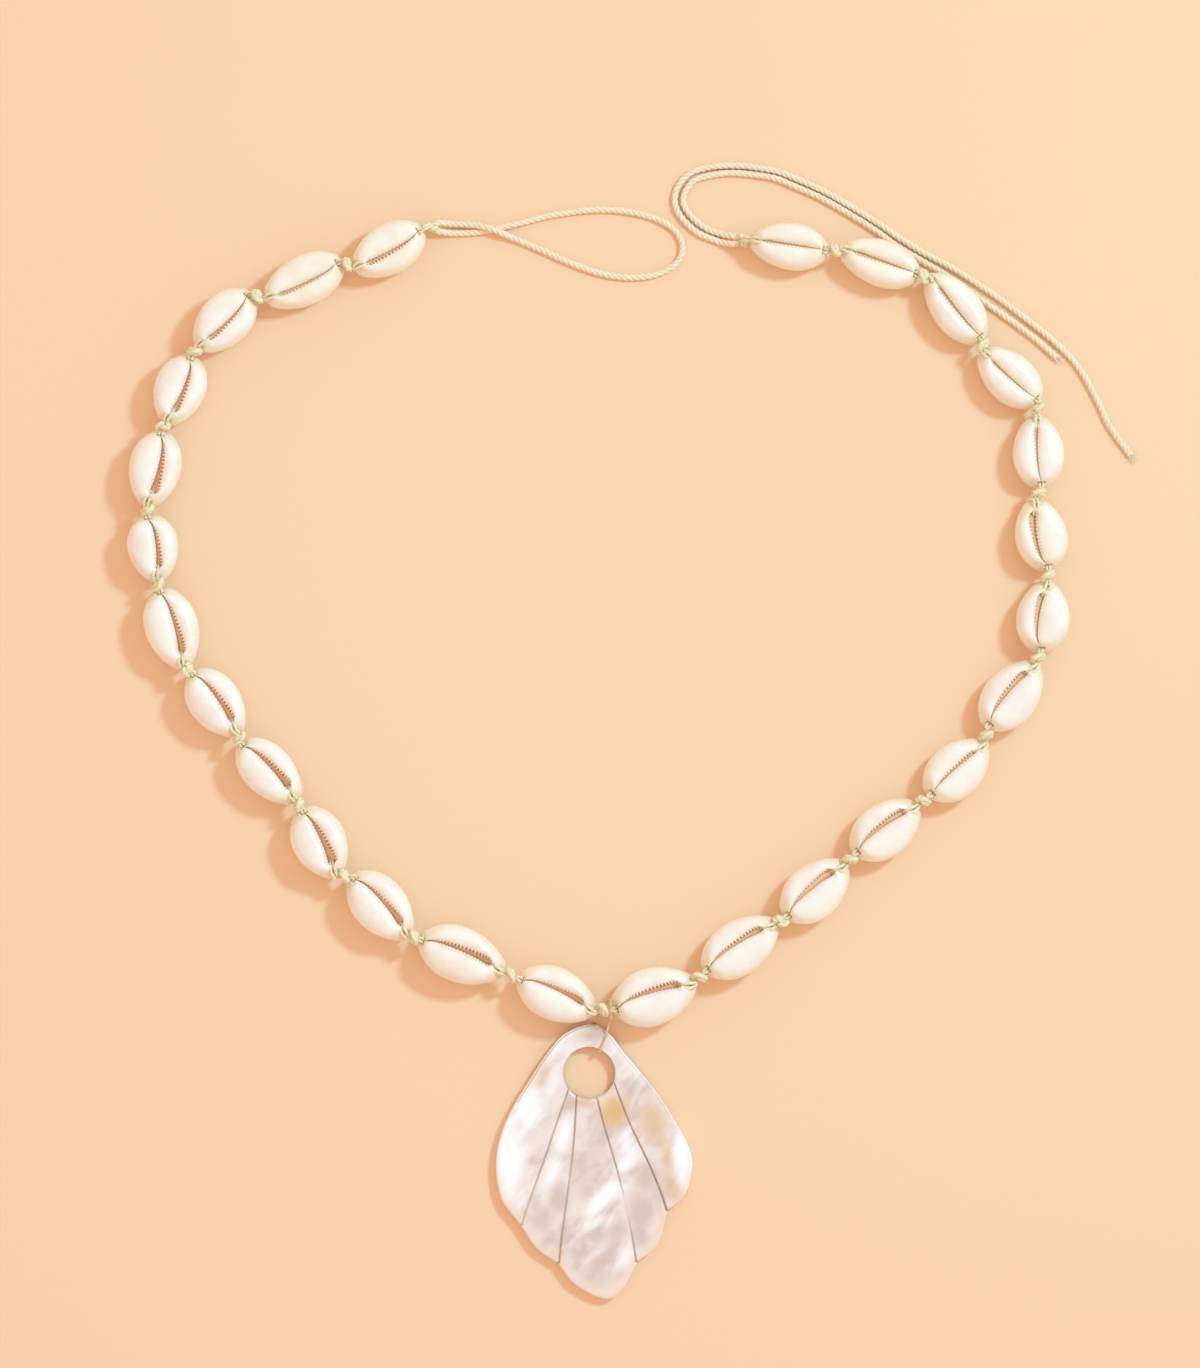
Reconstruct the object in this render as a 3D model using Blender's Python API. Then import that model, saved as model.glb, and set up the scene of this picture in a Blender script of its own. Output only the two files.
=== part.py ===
"""Shell necklace, laid out on a flat surface.

Twenty-six cowrie shells lie aperture up along a knotted cord. A scallop-shaped plate of
mother-of-pearl hangs on a thread ring beside the middle knot. One end of the cord is a loop,
the other ends in two loose tails. Metres, +Z up, the surface is z = 0.
"""

import math
from collections import namedtuple

import bmesh
import bpy
from mathutils import Matrix, Vector

MM = 0.001

# A middling shell: the tables of the two arms give each shell its share of these sizes
SHELL_LENGTH = 16.8 * MM
SHELL_WIDTH = 11.0 * MM
SHELL_HEIGHT = 8.0 * MM
SHELL_WALL = 1.0 * MM
LIP_THICKNESS = 1.2 * MM
SLOT_GAPE = 1.3 * MM
CANAL_RIM = 0.75 * MM
TIP_WALL = 0.5 * MM

# Cord, knots and the thread that holds the pendant
CORD_DIAMETER = 1.2 * MM
STRING_DIAMETER = 1.3 * MM
KNOT_WIDTH = 2.7 * MM
KNOT_LENGTH = 2.2 * MM
THREAD_DIAMETER = 0.45 * MM

# Pendant plate
PENDANT_LENGTH = 58.0 * MM
PENDANT_WIDTH = 41.4 * MM
PENDANT_THICKNESS = 2.5 * MM
PENDANT_HOLE = 11.0 * MM
EDGE_ROUNDING = 0.5 * MM
GROOVE_WIDTH = 0.7 * MM
GROOVE_DEPTH = 0.6 * MM

# Clearances
CANAL_CLEARANCE = 0.45 * MM
KNOT_CLEARANCE = 0.35 * MM
KNOT_LIFT = 0.3 * MM
THREAD_CLEARANCE = 0.3 * MM

# The form of a cowrie, as shares of its own length, width and height
EGG_SKEW = 0.13
OUTLINE_POWER = 1.6
CREST_POWER = 0.55
DOME_POWER = 1.05
MARGIN_RISE = 0.52
END_RAKE = 0.5
CANAL_RISE = 0.70
CANAL_OPENING = 0.64
RIM_CREST = 0.8
LIP_AT_END = 0.2
MOUTH_POWER = 1.5
SHELL_STATIONS = 9

# A lobe beside the slot: share of the way from slot to margin, share of the rise to the crest
LOBE_PROFILE = ((0.0, 0.70), (0.16, 0.95), (0.45, 1.0), (0.80, 0.74), (1.0, 0.0))
# The back of the shell: share of the half width, share of the depth below the margin
BELLY_PROFILE = ((0.86, 0.55), (0.42, 1.0))
# The slot: share of the length from the wide end, share of the gape
SLOT_PROFILE = ((0.0, 0.30), (0.35, 0.50), (0.78, 1.0), (1.0, 0.60))

# One row per shell, outward from the pendant: length, width and gape as shares of the middling
# shell, room beside the knots as a share of the knot's length, turn from the line between its
# knots in degrees, sideways offset and bow of the slot as shares of the width
Shell = namedtuple("Shell", "length width gape room turn side bow")
LEFT_ARM = (
    Shell(1.06, 1.03, 0.97, 0.82, -1.0, -0.05, 0.08),
    Shell(1.15, 1.08, 1.13, 0.82, -3.0, 0.01, 0.08),
    Shell(1.05, 1.05, 1.13, 0.00, 1.0, -0.02, 0.08),
    Shell(0.97, 1.05, 1.45, 0.20, -11.0, -0.14, 0.06),
    Shell(1.015, 0.97, 1.29, 0.29, 1.0, 0.00, 0.09),
    Shell(0.98, 1.01, 1.13, 0.02, -0.5, 0.07, 0.08),
    Shell(1.05, 1.04, 1.13, 0.10, -1.5, -0.02, 0.07),
    Shell(0.86, 0.98, 0.97, 0.08, -1.0, 0.00, 0.08),
    Shell(0.98, 1.00, 1.29, 0.10, -1.0, 0.00, 0.09),
    Shell(0.92, 0.99, 1.05, 0.25, 3.0, 0.00, 0.08),
    Shell(0.965, 0.99, 0.73, 0.08, 6.0, -0.13, 0.06),
    Shell(1.08, 0.975, 0.57, 0.10, 4.5, -0.02, 0.05),
    Shell(1.00, 0.98, 0.73, 0.16, 8.0, 0.03, 0.05),
)
RIGHT_ARM = (
    Shell(1.10, 1.12, 1.13, 1.22, 0.0, -0.01, 0.08),
    Shell(1.09, 1.05, 0.97, 0.31, -4.0, 0.07, 0.08),
    Shell(1.02, 1.06, 1.29, 0.42, 2.0, 0.02, 0.08),
    Shell(1.01, 1.05, 1.13, 0.78, -5.0, 0.03, 0.08),
    Shell(0.975, 1.05, 0.50, 0.64, -5.0, -0.11, 0.03),
    Shell(1.025, 1.05, 0.97, 0.52, -2.0, -0.01, 0.09),
    Shell(0.91, 1.04, 0.97, 0.38, 0.5, 0.01, 0.10),
    Shell(0.92, 1.01, 1.13, 0.47, 2.5, 0.03, 0.11),
    Shell(0.92, 0.99, 0.50, 0.30, 5.0, -0.02, 0.02),
    Shell(0.965, 0.95, 0.35, 0.40, 4.5, -0.05, 0.00),
    Shell(1.05, 0.94, 0.50, 0.00, 3.0, -0.10, 0.00),
    Shell(1.035, 0.90, 0.50, 0.54, -4.0, 0.00, -0.05),
    Shell(0.98, 0.90, 0.35, 0.65, -2.5, 0.02, -0.05),
)

# Pendant outline: share of the width from the middle, share of the length from the top;
# the last column marks a notch between two lobes
Outline = namedtuple("Outline", "across down notch")
PENDANT_OUTLINE = (
    Outline(-0.02, 0.000, False),
    Outline(-0.147, 0.034, False),
    Outline(-0.236, 0.103, False),
    Outline(-0.325, 0.199, False),
    Outline(-0.426, 0.319, False),
    Outline(-0.485, 0.430, False),
    Outline(-0.500, 0.530, False),
    Outline(-0.470, 0.640, False),
    Outline(-0.376, 0.731, True),
    Outline(-0.294, 0.816, False),
    Outline(-0.185, 0.870, True),
    Outline(-0.096, 0.948, False),
    Outline(0.056, 1.000, False),
    Outline(0.147, 0.962, False),
    Outline(0.221, 0.865, True),
    Outline(0.325, 0.800, False),
    Outline(0.376, 0.677, True),
    Outline(0.462, 0.623, False),
    Outline(0.500, 0.522, False),
    Outline(0.477, 0.439, False),
    Outline(0.340, 0.269, False),
    Outline(0.152, 0.103, False),
    Outline(0.076, 0.034, False),
)
OUTLINE_STEPS = 3
HOLE_PLACE = (-0.026, 0.177)
# Each groove runs from the hole to a notch: share of the width, share of the length
GROOVES = (
    ((-0.110, 0.225), (-0.203, 0.384), (-0.269, 0.522), (-0.385, 0.755)),
    ((-0.078, 0.245), (-0.107, 0.446), (-0.147, 0.673), (-0.190, 0.900)),
    ((0.008, 0.255), (0.056, 0.384), (0.132, 0.572), (0.226, 0.890)),
    ((0.085, 0.205), (0.178, 0.356), (0.297, 0.518), (0.395, 0.700)),
)
# Where the pendant lies from the middle knot: to the side, and below as a share of a shell's width
PENDANT_SHIFT = -1.9 * MM
PENDANT_DROP = 0.26

# The cord's way from the loop end round to the tails, from the middle knot, in millimetres
STRING_ROUTE_LEFT = (
    (0.0, 0.0), (-19.1, 8.2), (-40.3, 15.3), (-63.4, 43.3), (-87.1, 71.0), (-95.8, 105.0),
    (-92.8, 122.2), (-85.5, 138.6), (-72.4, 149.5), (-54.2, 156.9), (-36.5, 164.0),
)
STRING_ROUTE_RIGHT = (
    (0.0, 0.0), (21.2, 6.7), (37.2, 19.1), (66.6, 44.3), (91.4, 73.9), (93.7, 91.1),
    (91.1, 108.8), (91.6, 126.2), (79.2, 139.2), (68.2, 154.6), (49.1, 160.0), (30.0, 162.1),
)

# The free cords, from the end knot that holds them: two in millimetres, then how far the cord is
# lifted off the surface, in its own diameters
LOOP_ROUTE = (
    (1.9, 0.9, 1.2), (4.5, 0.8, 0.3), (8.6, 0.6, 0.6), (12.6, -0.3, 1.3), (16.2, -1.7, 0.5),
    (19.5, -3.0, 0), (23.3, -4.6, 0), (29.6, -7.4, 0), (35.9, -9.6, 0),
    (41.2, -10.4, 0), (46.4, -10.1, 0), (50.2, -8.6, 0), (52.4, -6.7, 0),
    (53.1, -4.4, 0), (52.6, -2.0, 0), (50.6, 0.3, 0), (46.4, 2.4, 0),
    (40.1, 3.7, 0), (33.8, 3.8, 0), (25.4, 2.7, 0), (19.1, 1.1, 0),
    (15.5, 0.2, 0), (12.4, -0.5, 0), (8.6, -1.0, 0), (4.6, -1.1, 0.2), (1.9, -0.9, 1.2),
)
LONG_TAIL_ROUTE = (
    (-1.9, -0.7, 1.2), (-4.2, -0.2, 0.2), (-6.8, 0.7, 0), (-9.7, 2.1, 0),
    (-12.9, 5.2, 0), (-14.2, 8.4, 0), (-13.6, 11.5, 0), (-11.4, 14.1, 0),
    (-8.3, 15.4, 0), (-4.0, 16.0, 0), (1.0, 15.9, 0), (7.1, 14.9, 0),
    (11.4, 13.3, 0), (17.6, 10.5, 0), (23.9, 6.9, 0), (29.2, 3.6, 0),
    (33.4, 0.7, 0), (38.6, -2.5, 0), (44.3, -5.5, 0), (53.3, -11.3, 0),
    (59.6, -16.0, 0), (64.9, -20.2, 0), (68.5, -23.5, 0), (71.2, -26.7, 0),
    (73.5, -30.5, 0), (75.4, -34.2, 0), (77.9, -39.3, 0), (82.1, -45.2, 0),
)
SHORT_TAIL_ROUTE = (
    (-1.8, 0.9, 1.2), (-4.4, 1.6, 0.2), (-7.4, 2.7, 0), (-10.3, 4.9, 0),
    (-12.2, 7.5, 0), (-12.3, 9.7, 0), (-11.3, 11.7, 0), (-9.3, 13.3, 0),
    (-3.9, 14.4, 0), (0.8, 14.3, 0), (6.8, 13.4, 0), (10.8, 11.8, 0),
    (16.9, 9.1, 0), (23.2, 5.5, 0), (28.4, 2.2, 0), (32.5, -0.8, 0),
    (37.8, -4.0, 0), (43.2, -7.2, 0), (52.0, -13.3, 0), (58.6, -18.0, 0),
    (63.0, -21.4, 0), (66.5, -24.6, 0),
)
END_KNOT_HEIGHT = 2.2 * MM
# From the shell's tip to the end knot, and from the end knot's height to the canal's
END_BEND = ((0.2, 1.02), (0.75, 0.86), (1.0, 0.58))
# How far inside a canal's mouth the cord has dived under the lips
CORD_DIVE = 2.6 * MM
# A knot: share of its half length, share of the way from the cord's width to the knot's
KNOT_PROFILE = ((-1.0, 0.1), (-0.62, 0.82), (0.0, 1.0), (0.62, 0.82), (1.0, 0.1))
# The thread enters the hole beside its middle: share of the hole's diameter
THREAD_ASIDE = 0.21
# Beside the knot and left of the hole's entry, the thread keeps off by shares of its own reach
THREAD_BESIDE = 0.7
THREAD_LEFT = 2.3
# The thread ring, read on three rulers. Across: 0 left strand, 1 entry to the hole, 2 beside the
# knot. Along: 0 inside the hole, 1 its rim, 2 the pendant's top, 3 before the cord, 4 the cord,
# 5 behind it. Up: 0 lying, 1 over the pendant, 2 under the knot, 3 over the cord.
THREAD_ROUTE = (
    (2.00, 4.60, 3.00), (2.00, 3.40, 3.00), (2.00, 2.70, 2.55), (1.85, 2.30, 1.90),
    (1.55, 1.50, 1.20), (1.00, 1.00, 1.00), (1.00, 0.00, 0.80), (1.00, 0.00, 0.40),
    (0.90, 0.40, 0.04), (0.55, 1.40, 0.00), (0.10, 2.10, 0.07), (0.10, 2.35, 0.65),
    (0.45, 3.10, 1.45), (1.30, 4.50, 2.00), (1.80, 5.60, 2.25), (2.00, 5.50, 2.70),
)

# The pendant's rounded edge, as shares of the rounding: inward, and away from the lower or upper face
EDGE_BELOW = ((0.5, 0.0), (0.0, 0.5))
EDGE_ABOVE = ((0.0, 1.0), (0.3, 0.3), (1.0, 0.0))

# Material colours (linear red, green, blue) and roughness
PORCELAIN = ((0.90, 0.86, 0.80), 0.25)
STRING_COTTON = ((0.78, 0.68, 0.45), 0.85)
CORD_COTTON = ((0.80, 0.72, 0.52), 0.85)
THREAD_COTTON = ((0.72, 0.55, 0.34), 0.8)
NACRE = ((0.88, 0.84, 0.82), 0.2)
GUIDE_GREY = ((0.5, 0.5, 0.5), 0.5)

# How finely curves are drawn
CURVE_STEPS = 40
BISECTIONS = 30
CORD_POINT_SPACING = 2.8
STRING_ROUNDNESS = 1
CORD_ROUNDNESS = 2
THREAD_ROUNDNESS = 1
THREAD_STEPS = 2
GROOVE_STEPS = 2
HOLE_SIDES = 28
SHARP_ANGLE = 50

# Worked out from the sizes above
canal_height = CANAL_RISE * SHELL_HEIGHT
canal_radius = STRING_DIAMETER / 2 + CANAL_CLEARANCE
canal_mouth = 2 * CANAL_OPENING * canal_radius
rim_radius = canal_radius + CANAL_RIM
tip_half_width = canal_radius + TIP_WALL
rim_foot = canal_height - rim_radius
knot_height = canal_height + KNOT_LIFT
# Least room between two shells' tips that lets a knot nest between their raked ends
nest_room = max(KNOT_CLEARANCE, 2 * (
    math.hypot(KNOT_LENGTH / 2, END_RAKE * KNOT_WIDTH / 2)
    + KNOT_CLEARANCE * math.hypot(1.0, END_RAKE)
    - END_RAKE * (knot_height - rim_foot)
))
pendant_top = Vector((PENDANT_SHIFT, -PENDANT_DROP * SHELL_WIDTH, 0.0))
hole_middle = Vector((HOLE_PLACE[0] * PENDANT_WIDTH, -HOLE_PLACE[1] * PENDANT_LENGTH, 0.0))
relief_slope = (THREAD_DIAMETER + THREAD_CLEARANCE) / PENDANT_HOLE


def mix(start, end, share):
    """The value a share of the way from start to end."""
    return start + (end - start) * share


def read_table(table, share):
    """A value read from rows of (share, value), straight between the rows."""
    for (low, first), (high, second) in zip(table, table[1:]):
        if share <= high:
            return mix(first, second, (share - low) / (high - low))
    return table[-1][1]


def read_ruler(marks, value):
    """A place on a ruler whose marks are 0, 1, 2 and so on; past its ends it goes on evenly."""
    index = min(max(int(value), 0), len(marks) - 2)
    return mix(marks[index], marks[index + 1], value - index)


def smooth_curve(points, steps, closed=False):
    """Points of a smooth curve through the given ones."""
    count = len(points)
    if closed:
        padded = [points[-1], *points, points[0], points[1]]
        spans = count
    else:
        padded = [2 * points[0] - points[1], *points, 2 * points[-1] - points[-2]]
        spans = count - 1
    curve = []
    for span in range(spans):
        before, start, end, after = padded[span:span + 4]
        for step in range(steps):
            t = step / steps
            curve.append(0.5 * (
                2 * start
                + (end - before) * t
                + (2 * before - 5 * start + 4 * end - after) * t ** 2
                + (3 * start - before - 3 * end + after) * t ** 3
            ))
    if not closed:
        curve.append(points[-1].copy())
    return curve


def evenly_spaced(curve, spacing):
    """The curve's points again, at even distances near the given spacing, ends kept."""
    lengths = [0.0]
    for first, second in zip(curve, curve[1:]):
        lengths.append(lengths[-1] + (second - first).length)
    count = max(2, round(lengths[-1] / spacing))
    even = []
    index = 0
    for step in range(count + 1):
        target = lengths[-1] * step / count
        while index < len(curve) - 2 and lengths[index + 1] < target:
            index += 1
        share = (target - lengths[index]) / (lengths[index + 1] - lengths[index])
        even.append(curve[index].lerp(curve[index + 1], share))
    return even


def outline_swell(angle):
    """Half width of the egg outline at an angle from the wide end's, before it is scaled."""
    return max(0.0, math.sin(angle)) ** OUTLINE_POWER * (1 + EGG_SKEW * math.cos(angle))


def shell_height(shell):
    """Height of a shell: a narrow one is lower, by half as much."""
    return SHELL_HEIGHT * (1 + shell.width) / 2


def cowrie_loops(shell):
    """Closed section loops of a shell from its wide end to its narrow one, origin under its middle."""
    half_length = shell.length * SHELL_LENGTH / 2
    half = shell.width * SHELL_WIDTH / 2
    height = shell_height(shell)
    peak = max(outline_swell(math.radians(degree)) for degree in range(180))
    loops = []
    for station in range(SHELL_STATIONS):
        angle = math.pi * station / (SHELL_STATIONS - 1)
        swell = max(0.0, math.sin(angle))
        along = -half_length * math.cos(angle)
        half_width = mix(tip_half_width, half, outline_swell(angle) / peak)
        margin = mix(canal_height, MARGIN_RISE * height, swell)
        crest = mix(canal_height + RIM_CREST * rim_radius, height, swell ** CREST_POWER)
        foot = rim_foot * (1 - swell ** DOME_POWER)
        wall = mix(TIP_WALL, SHELL_WALL, swell)
        lip = LIP_THICKNESS * mix(LIP_AT_END, 1.0, swell)
        slot = shell.gape * SLOT_GAPE * read_table(SLOT_PROFILE, (1 - math.cos(angle)) / 2)
        slot = mix(slot, canal_mouth, (1 - swell) ** MOUTH_POWER)
        middle = shell.bow * 2 * half * swell

        def lobe(side):
            """Points of one lobe, from the slot's edge out to the margin."""
            edge = middle + side * slot / 2
            return [
                (mix(edge, side * half_width, across), mix(margin, crest, rise))
                for across, rise in LOBE_PROFILE
            ]

        def lining(side):
            """Points inside one lobe, from the lip down to the belly."""
            edge, edge_height = lobe(side)[0]
            inside = half_width - wall
            belly = BELLY_PROFILE[-1][0]
            return [(edge, edge_height - lip), (side * inside, margin), (side * belly * inside, foot + wall)]

        belly = [(share * half_width, mix(margin, foot, depth)) for share, depth in BELLY_PROFILE]
        mirrored = [(-across, level) for across, level in reversed(belly)]
        section = lobe(1) + belly + mirrored + lobe(-1)[::-1] + lining(-1) + lining(1)[::-1]
        loop = []
        for across, level in section:
            recess = END_RAKE * max(0.0, level - rim_foot) * (1 - swell ** 2)
            loop.append(Vector((along - math.copysign(recess, along), across, level)))
        loops.append(loop)
    return loops


def lofted_mesh(name, loops):
    """A closed mesh through loops with as many points each, capped at both ends."""
    mesh = bmesh.new()
    rows = [[mesh.verts.new(point) for point in loop] for loop in loops]
    for first, second in zip(rows, rows[1:]):
        for index in range(len(first)):
            after = (index + 1) % len(first)
            mesh.faces.new((first[index], first[after], second[after], second[index]))
    mesh.faces.new(rows[0][::-1])
    mesh.faces.new(rows[-1])
    bmesh.ops.recalc_face_normals(mesh, faces=mesh.faces)
    data = bpy.data.meshes.new(name)
    mesh.to_mesh(data)
    mesh.free()
    return data


def make_material(name, finish):
    """A plain opaque material of the given colour and roughness."""
    colour, roughness = finish
    material = bpy.data.materials.new(name)
    material.use_nodes = True
    shader = material.node_tree.nodes["Principled BSDF"]
    shader.inputs["Base Color"].default_value = (*colour, 1.0)
    shader.inputs["Roughness"].default_value = roughness
    shader.inputs["Metallic"].default_value = 0.0
    return material


def add_object(name, data, material, parent):
    """A named object with its own material under its parent."""
    data.materials.append(material)
    piece = bpy.data.objects.new(name, data)
    bpy.context.scene.collection.objects.link(piece)
    piece.parent = parent
    return piece


def add_solid(name, data, material, parent):
    """A named mesh object, shaded smooth except at its sharp edges."""
    piece = add_object(name, data, material, parent)
    data.shade_smooth()
    data.set_sharp_from_angle(angle=math.radians(SHARP_ANGLE))
    return piece


def add_tube(name, points, radii, material, parent, sides, closed=False):
    """A round tube along points; each point has its own radius."""
    data = bpy.data.curves.new(name, "CURVE")
    data.dimensions = "3D"
    data.bevel_depth = max(radii)
    data.bevel_resolution = sides
    data.use_fill_caps = True
    spline = data.splines.new("POLY")
    spline.points.add(len(points) - 1)
    for vertex, point, radius in zip(spline.points, points, radii):
        vertex.co = (*point, 1.0)
        vertex.radius = radius / data.bevel_depth
    spline.use_cyclic_u = closed
    return add_object(name, data, material, parent)


def walk_knots(route, arm):
    """Knot places along one arm, outward from the middle knot, each a shell's pitch from the last."""
    corners = [Vector((x * MM, y * MM, 0.0)) for x, y in route]
    curve = smooth_curve(corners, CURVE_STEPS)
    curve.append(curve[-1] + (curve[-1] - curve[-2]).normalized() * SHELL_LENGTH * len(arm))
    knots = [curve[0]]
    index = 0
    for shell in arm:
        pitch = shell.length * SHELL_LENGTH + nest_room + shell.room * KNOT_LENGTH
        while (curve[index + 1] - knots[-1]).length < pitch:
            index += 1
        low, high = curve[index], curve[index + 1]
        for _ in range(BISECTIONS):
            between = (low + high) / 2
            if (between - knots[-1]).length < pitch:
                low = between
            else:
                high = between
        knots.append(low)
    return knots


def place_shell(shell, wide_knot, narrow_knot):
    """Matrix that lays a shell between its two knots."""
    walk = narrow_knot - wide_knot
    left = Vector((-walk.y, walk.x, 0.0)).normalized()
    middle = (wide_knot + narrow_knot) / 2 + left * shell.side * shell.width * SHELL_WIDTH
    heading = math.atan2(walk.y, walk.x) + math.radians(shell.turn)
    return Matrix.Translation(middle) @ Matrix.Rotation(heading, 4, "Z")


def cord_inside(shell, place):
    """The cord's way through a shell: in at the wide end, under the lips, out at the narrow end."""
    mouth = shell.length * SHELL_LENGTH / 2 - END_RAKE * rim_radius
    height = shell_height(shell)
    lips = height * mix(MARGIN_RISE, 1.0, LOBE_PROFILE[0][1]) - LIP_THICKNESS
    level = lips - CANAL_CLEARANCE - STRING_DIAMETER / 2
    inner = mouth - CORD_DIVE
    points = [(-mouth, canal_height), (-inner, level), (inner, level), (mouth, canal_height)]
    return [place @ Vector((along, 0.0, up)) for along, up in points]


def knot_points(middle, direction):
    """Points and radii that swell the cord into a knot."""
    points = [middle + direction * share * KNOT_LENGTH / 2 for share, _ in KNOT_PROFILE]
    radii = [mix(STRING_DIAMETER, KNOT_WIDTH, fullness) / 2 for _, fullness in KNOT_PROFILE]
    return points, radii


def between_mouths(way, next_way):
    """Place of the knot between two shells that follow each other."""
    middle = (way[-1] + next_way[0]) / 2
    return Vector((middle.x, middle.y, knot_height))


def end_knot(shell, place, outward):
    """Way over the last shell's tip, and the end knot that lies low in front of it."""
    tip = shell.length * SHELL_LENGTH / 2
    reach = tip + KNOT_WIDTH / 2 + KNOT_CLEARANCE
    bend = [place @ Vector((outward * mix(tip, reach, along), 0.0, mix(END_KNOT_HEIGHT, canal_height, up)))
            for along, up in END_BEND]
    middle = place @ Vector((outward * reach, 0.0, END_KNOT_HEIGHT))
    down = (middle - bend[-1]).normalized()
    return bend, middle, down


def build_cowries(arms, root):
    """The shells of both arms; returns each arm's shells with their places."""
    placed = {}
    for side, (arm, knots) in arms.items():
        placed[side] = []
        for number, shell in enumerate(arm, start=1):
            inner, outer = knots[number - 1], knots[number]
            wide, narrow = (outer, inner) if side == "left" else (inner, outer)
            place = place_shell(shell, wide, narrow)
            name = f"cowrie_{side}_{number:02d}"
            material = make_material(name + "_porcelain", PORCELAIN)
            piece = add_solid(name, lofted_mesh(name, cowrie_loops(shell)), material, root)
            piece.matrix_local = place
            placed[side].append((shell, place))
    return placed


def build_stringing_cord(placed, root):
    """The cord through all the shells with its knots; returns the places of its end and middle knots."""
    threaded = placed["left"][::-1] + placed["right"]
    ways = [cord_inside(shell, place) for shell, place in threaded]
    first_bend, first_knot, first_down = end_knot(*threaded[0], -1)
    last_bend, last_knot, last_down = end_knot(*threaded[-1], 1)

    points, radii = knot_points(first_knot, -first_down)
    points += first_bend[::-1]
    radii += [STRING_DIAMETER / 2] * len(first_bend)
    for index, way in enumerate(ways):
        points += way
        radii += [STRING_DIAMETER / 2] * len(way)
        if index < len(ways) - 1:
            middle = between_mouths(way, ways[index + 1])
            direction = (ways[index + 1][0] - way[-1]).normalized()
            more_points, more_radii = knot_points(middle, direction)
            points += more_points
            radii += more_radii
    points += last_bend
    radii += [STRING_DIAMETER / 2] * len(last_bend)
    more_points, more_radii = knot_points(last_knot, last_down)
    points += more_points
    radii += more_radii
    material = make_material("stringing_cord_cotton", STRING_COTTON)
    add_tube("stringing_cord", points, radii, material, root, STRING_ROUNDNESS)
    middle_knot = between_mouths(ways[len(LEFT_ARM) - 1], ways[len(LEFT_ARM)])
    return first_knot, last_knot, middle_knot


def build_free_cord(name, route, knot, root):
    """A cord that leaves an end knot and lies on the surface."""
    corners = [
        Vector((knot.x + x * MM, knot.y + y * MM, CORD_DIAMETER * (0.5 + lift))) for x, y, lift in route
    ]
    points = evenly_spaced(smooth_curve(corners, CURVE_STEPS), CORD_DIAMETER * CORD_POINT_SPACING)
    for point in points:
        point.z = max(point.z, CORD_DIAMETER / 2)
    material = make_material(name + "_cotton", CORD_COTTON)
    add_tube(name, points, [CORD_DIAMETER / 2] * len(points), material, root, CORD_ROUNDNESS)


def pendant_outline():
    """The scalloped outline, smooth between its notches, counterclockwise in the pendant's frame."""
    corners = [
        Vector((row.across * PENDANT_WIDTH, -row.down * PENDANT_LENGTH, 0.0)) for row in PENDANT_OUTLINE
    ]
    notches = [index for index, row in enumerate(PENDANT_OUTLINE) if row.notch]
    outline = []
    for start, end in zip(notches, notches[1:] + [notches[0] + len(corners)]):
        stretch = [corners[index % len(corners)] for index in range(start, end + 1)]
        outline += smooth_curve(stretch, OUTLINE_STEPS)[:-1]
    return outline


def inset(outline, distance):
    """The outline moved inward by a distance."""
    moved = []
    for index, point in enumerate(outline):
        along = outline[(index + 1) % len(outline)] - outline[index - 1]
        inward = Vector((-along.y, along.x, 0.0)).normalized()
        moved.append(point + inward * distance)
    return moved


def plate_mesh(name):
    """The pendant's plate with rounded edges, before the hole and the grooves."""
    outline = pendant_outline()
    steps = [(inward, away * EDGE_ROUNDING) for inward, away in EDGE_BELOW]
    steps += [(inward, PENDANT_THICKNESS - away * EDGE_ROUNDING) for inward, away in EDGE_ABOVE]
    rings = []
    for inward, level in steps:
        ring = inset(outline, inward * EDGE_ROUNDING)
        rings.append([Vector((point.x, point.y, level)) for point in ring])
    return lofted_mesh(name, rings)


def groove_mesh(name, groove):
    """A V-shaped cutter along one engraved line."""
    overlap = GROOVE_DEPTH
    half = GROOVE_WIDTH / 2 * (GROOVE_DEPTH + overlap) / GROOVE_DEPTH
    line = [Vector((x * PENDANT_WIDTH, -y * PENDANT_LENGTH, 0.0)) for x, y in groove]
    line = smooth_curve(line, GROOVE_STEPS)
    loops = []
    for index, point in enumerate(line):
        along = line[min(index + 1, len(line) - 1)] - line[max(index - 1, 0)]
        across = Vector((-along.y, along.x, 0.0)).normalized()
        top = Vector((0.0, 0.0, PENDANT_THICKNESS + overlap))
        bottom = Vector((0.0, 0.0, PENDANT_THICKNESS - GROOVE_DEPTH))
        loops.append([point + across * half + top, point - across * half + top, point + bottom])
    return lofted_mesh(name, loops)


def hole_mesh(name):
    """A round cutter for the pendant's hole."""
    loops = []
    for level in (-PENDANT_THICKNESS, 2 * PENDANT_THICKNESS):
        loops.append([
            hole_middle + Vector((
                PENDANT_HOLE / 2 * math.cos(math.tau * side / HOLE_SIDES),
                PENDANT_HOLE / 2 * math.sin(math.tau * side / HOLE_SIDES),
                level,
            ))
            for side in range(HOLE_SIDES)
        ])
    return lofted_mesh(name, loops)


def relief_mesh(name):
    """A wedge that thins the plate's back towards its top, so that the thread fits under it."""
    start = hole_middle.y - PENDANT_HOLE / 2
    end = 2 * EDGE_ROUNDING
    rise = relief_slope * (end - start)
    loops = []
    for across in (-PENDANT_WIDTH, PENDANT_WIDTH):
        loops.append([
            Vector((across, start, 0.0)),
            Vector((across, end, rise)),
            Vector((across, end, -PENDANT_THICKNESS)),
            Vector((across, start, -PENDANT_THICKNESS)),
        ])
    return lofted_mesh(name, loops)


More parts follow.
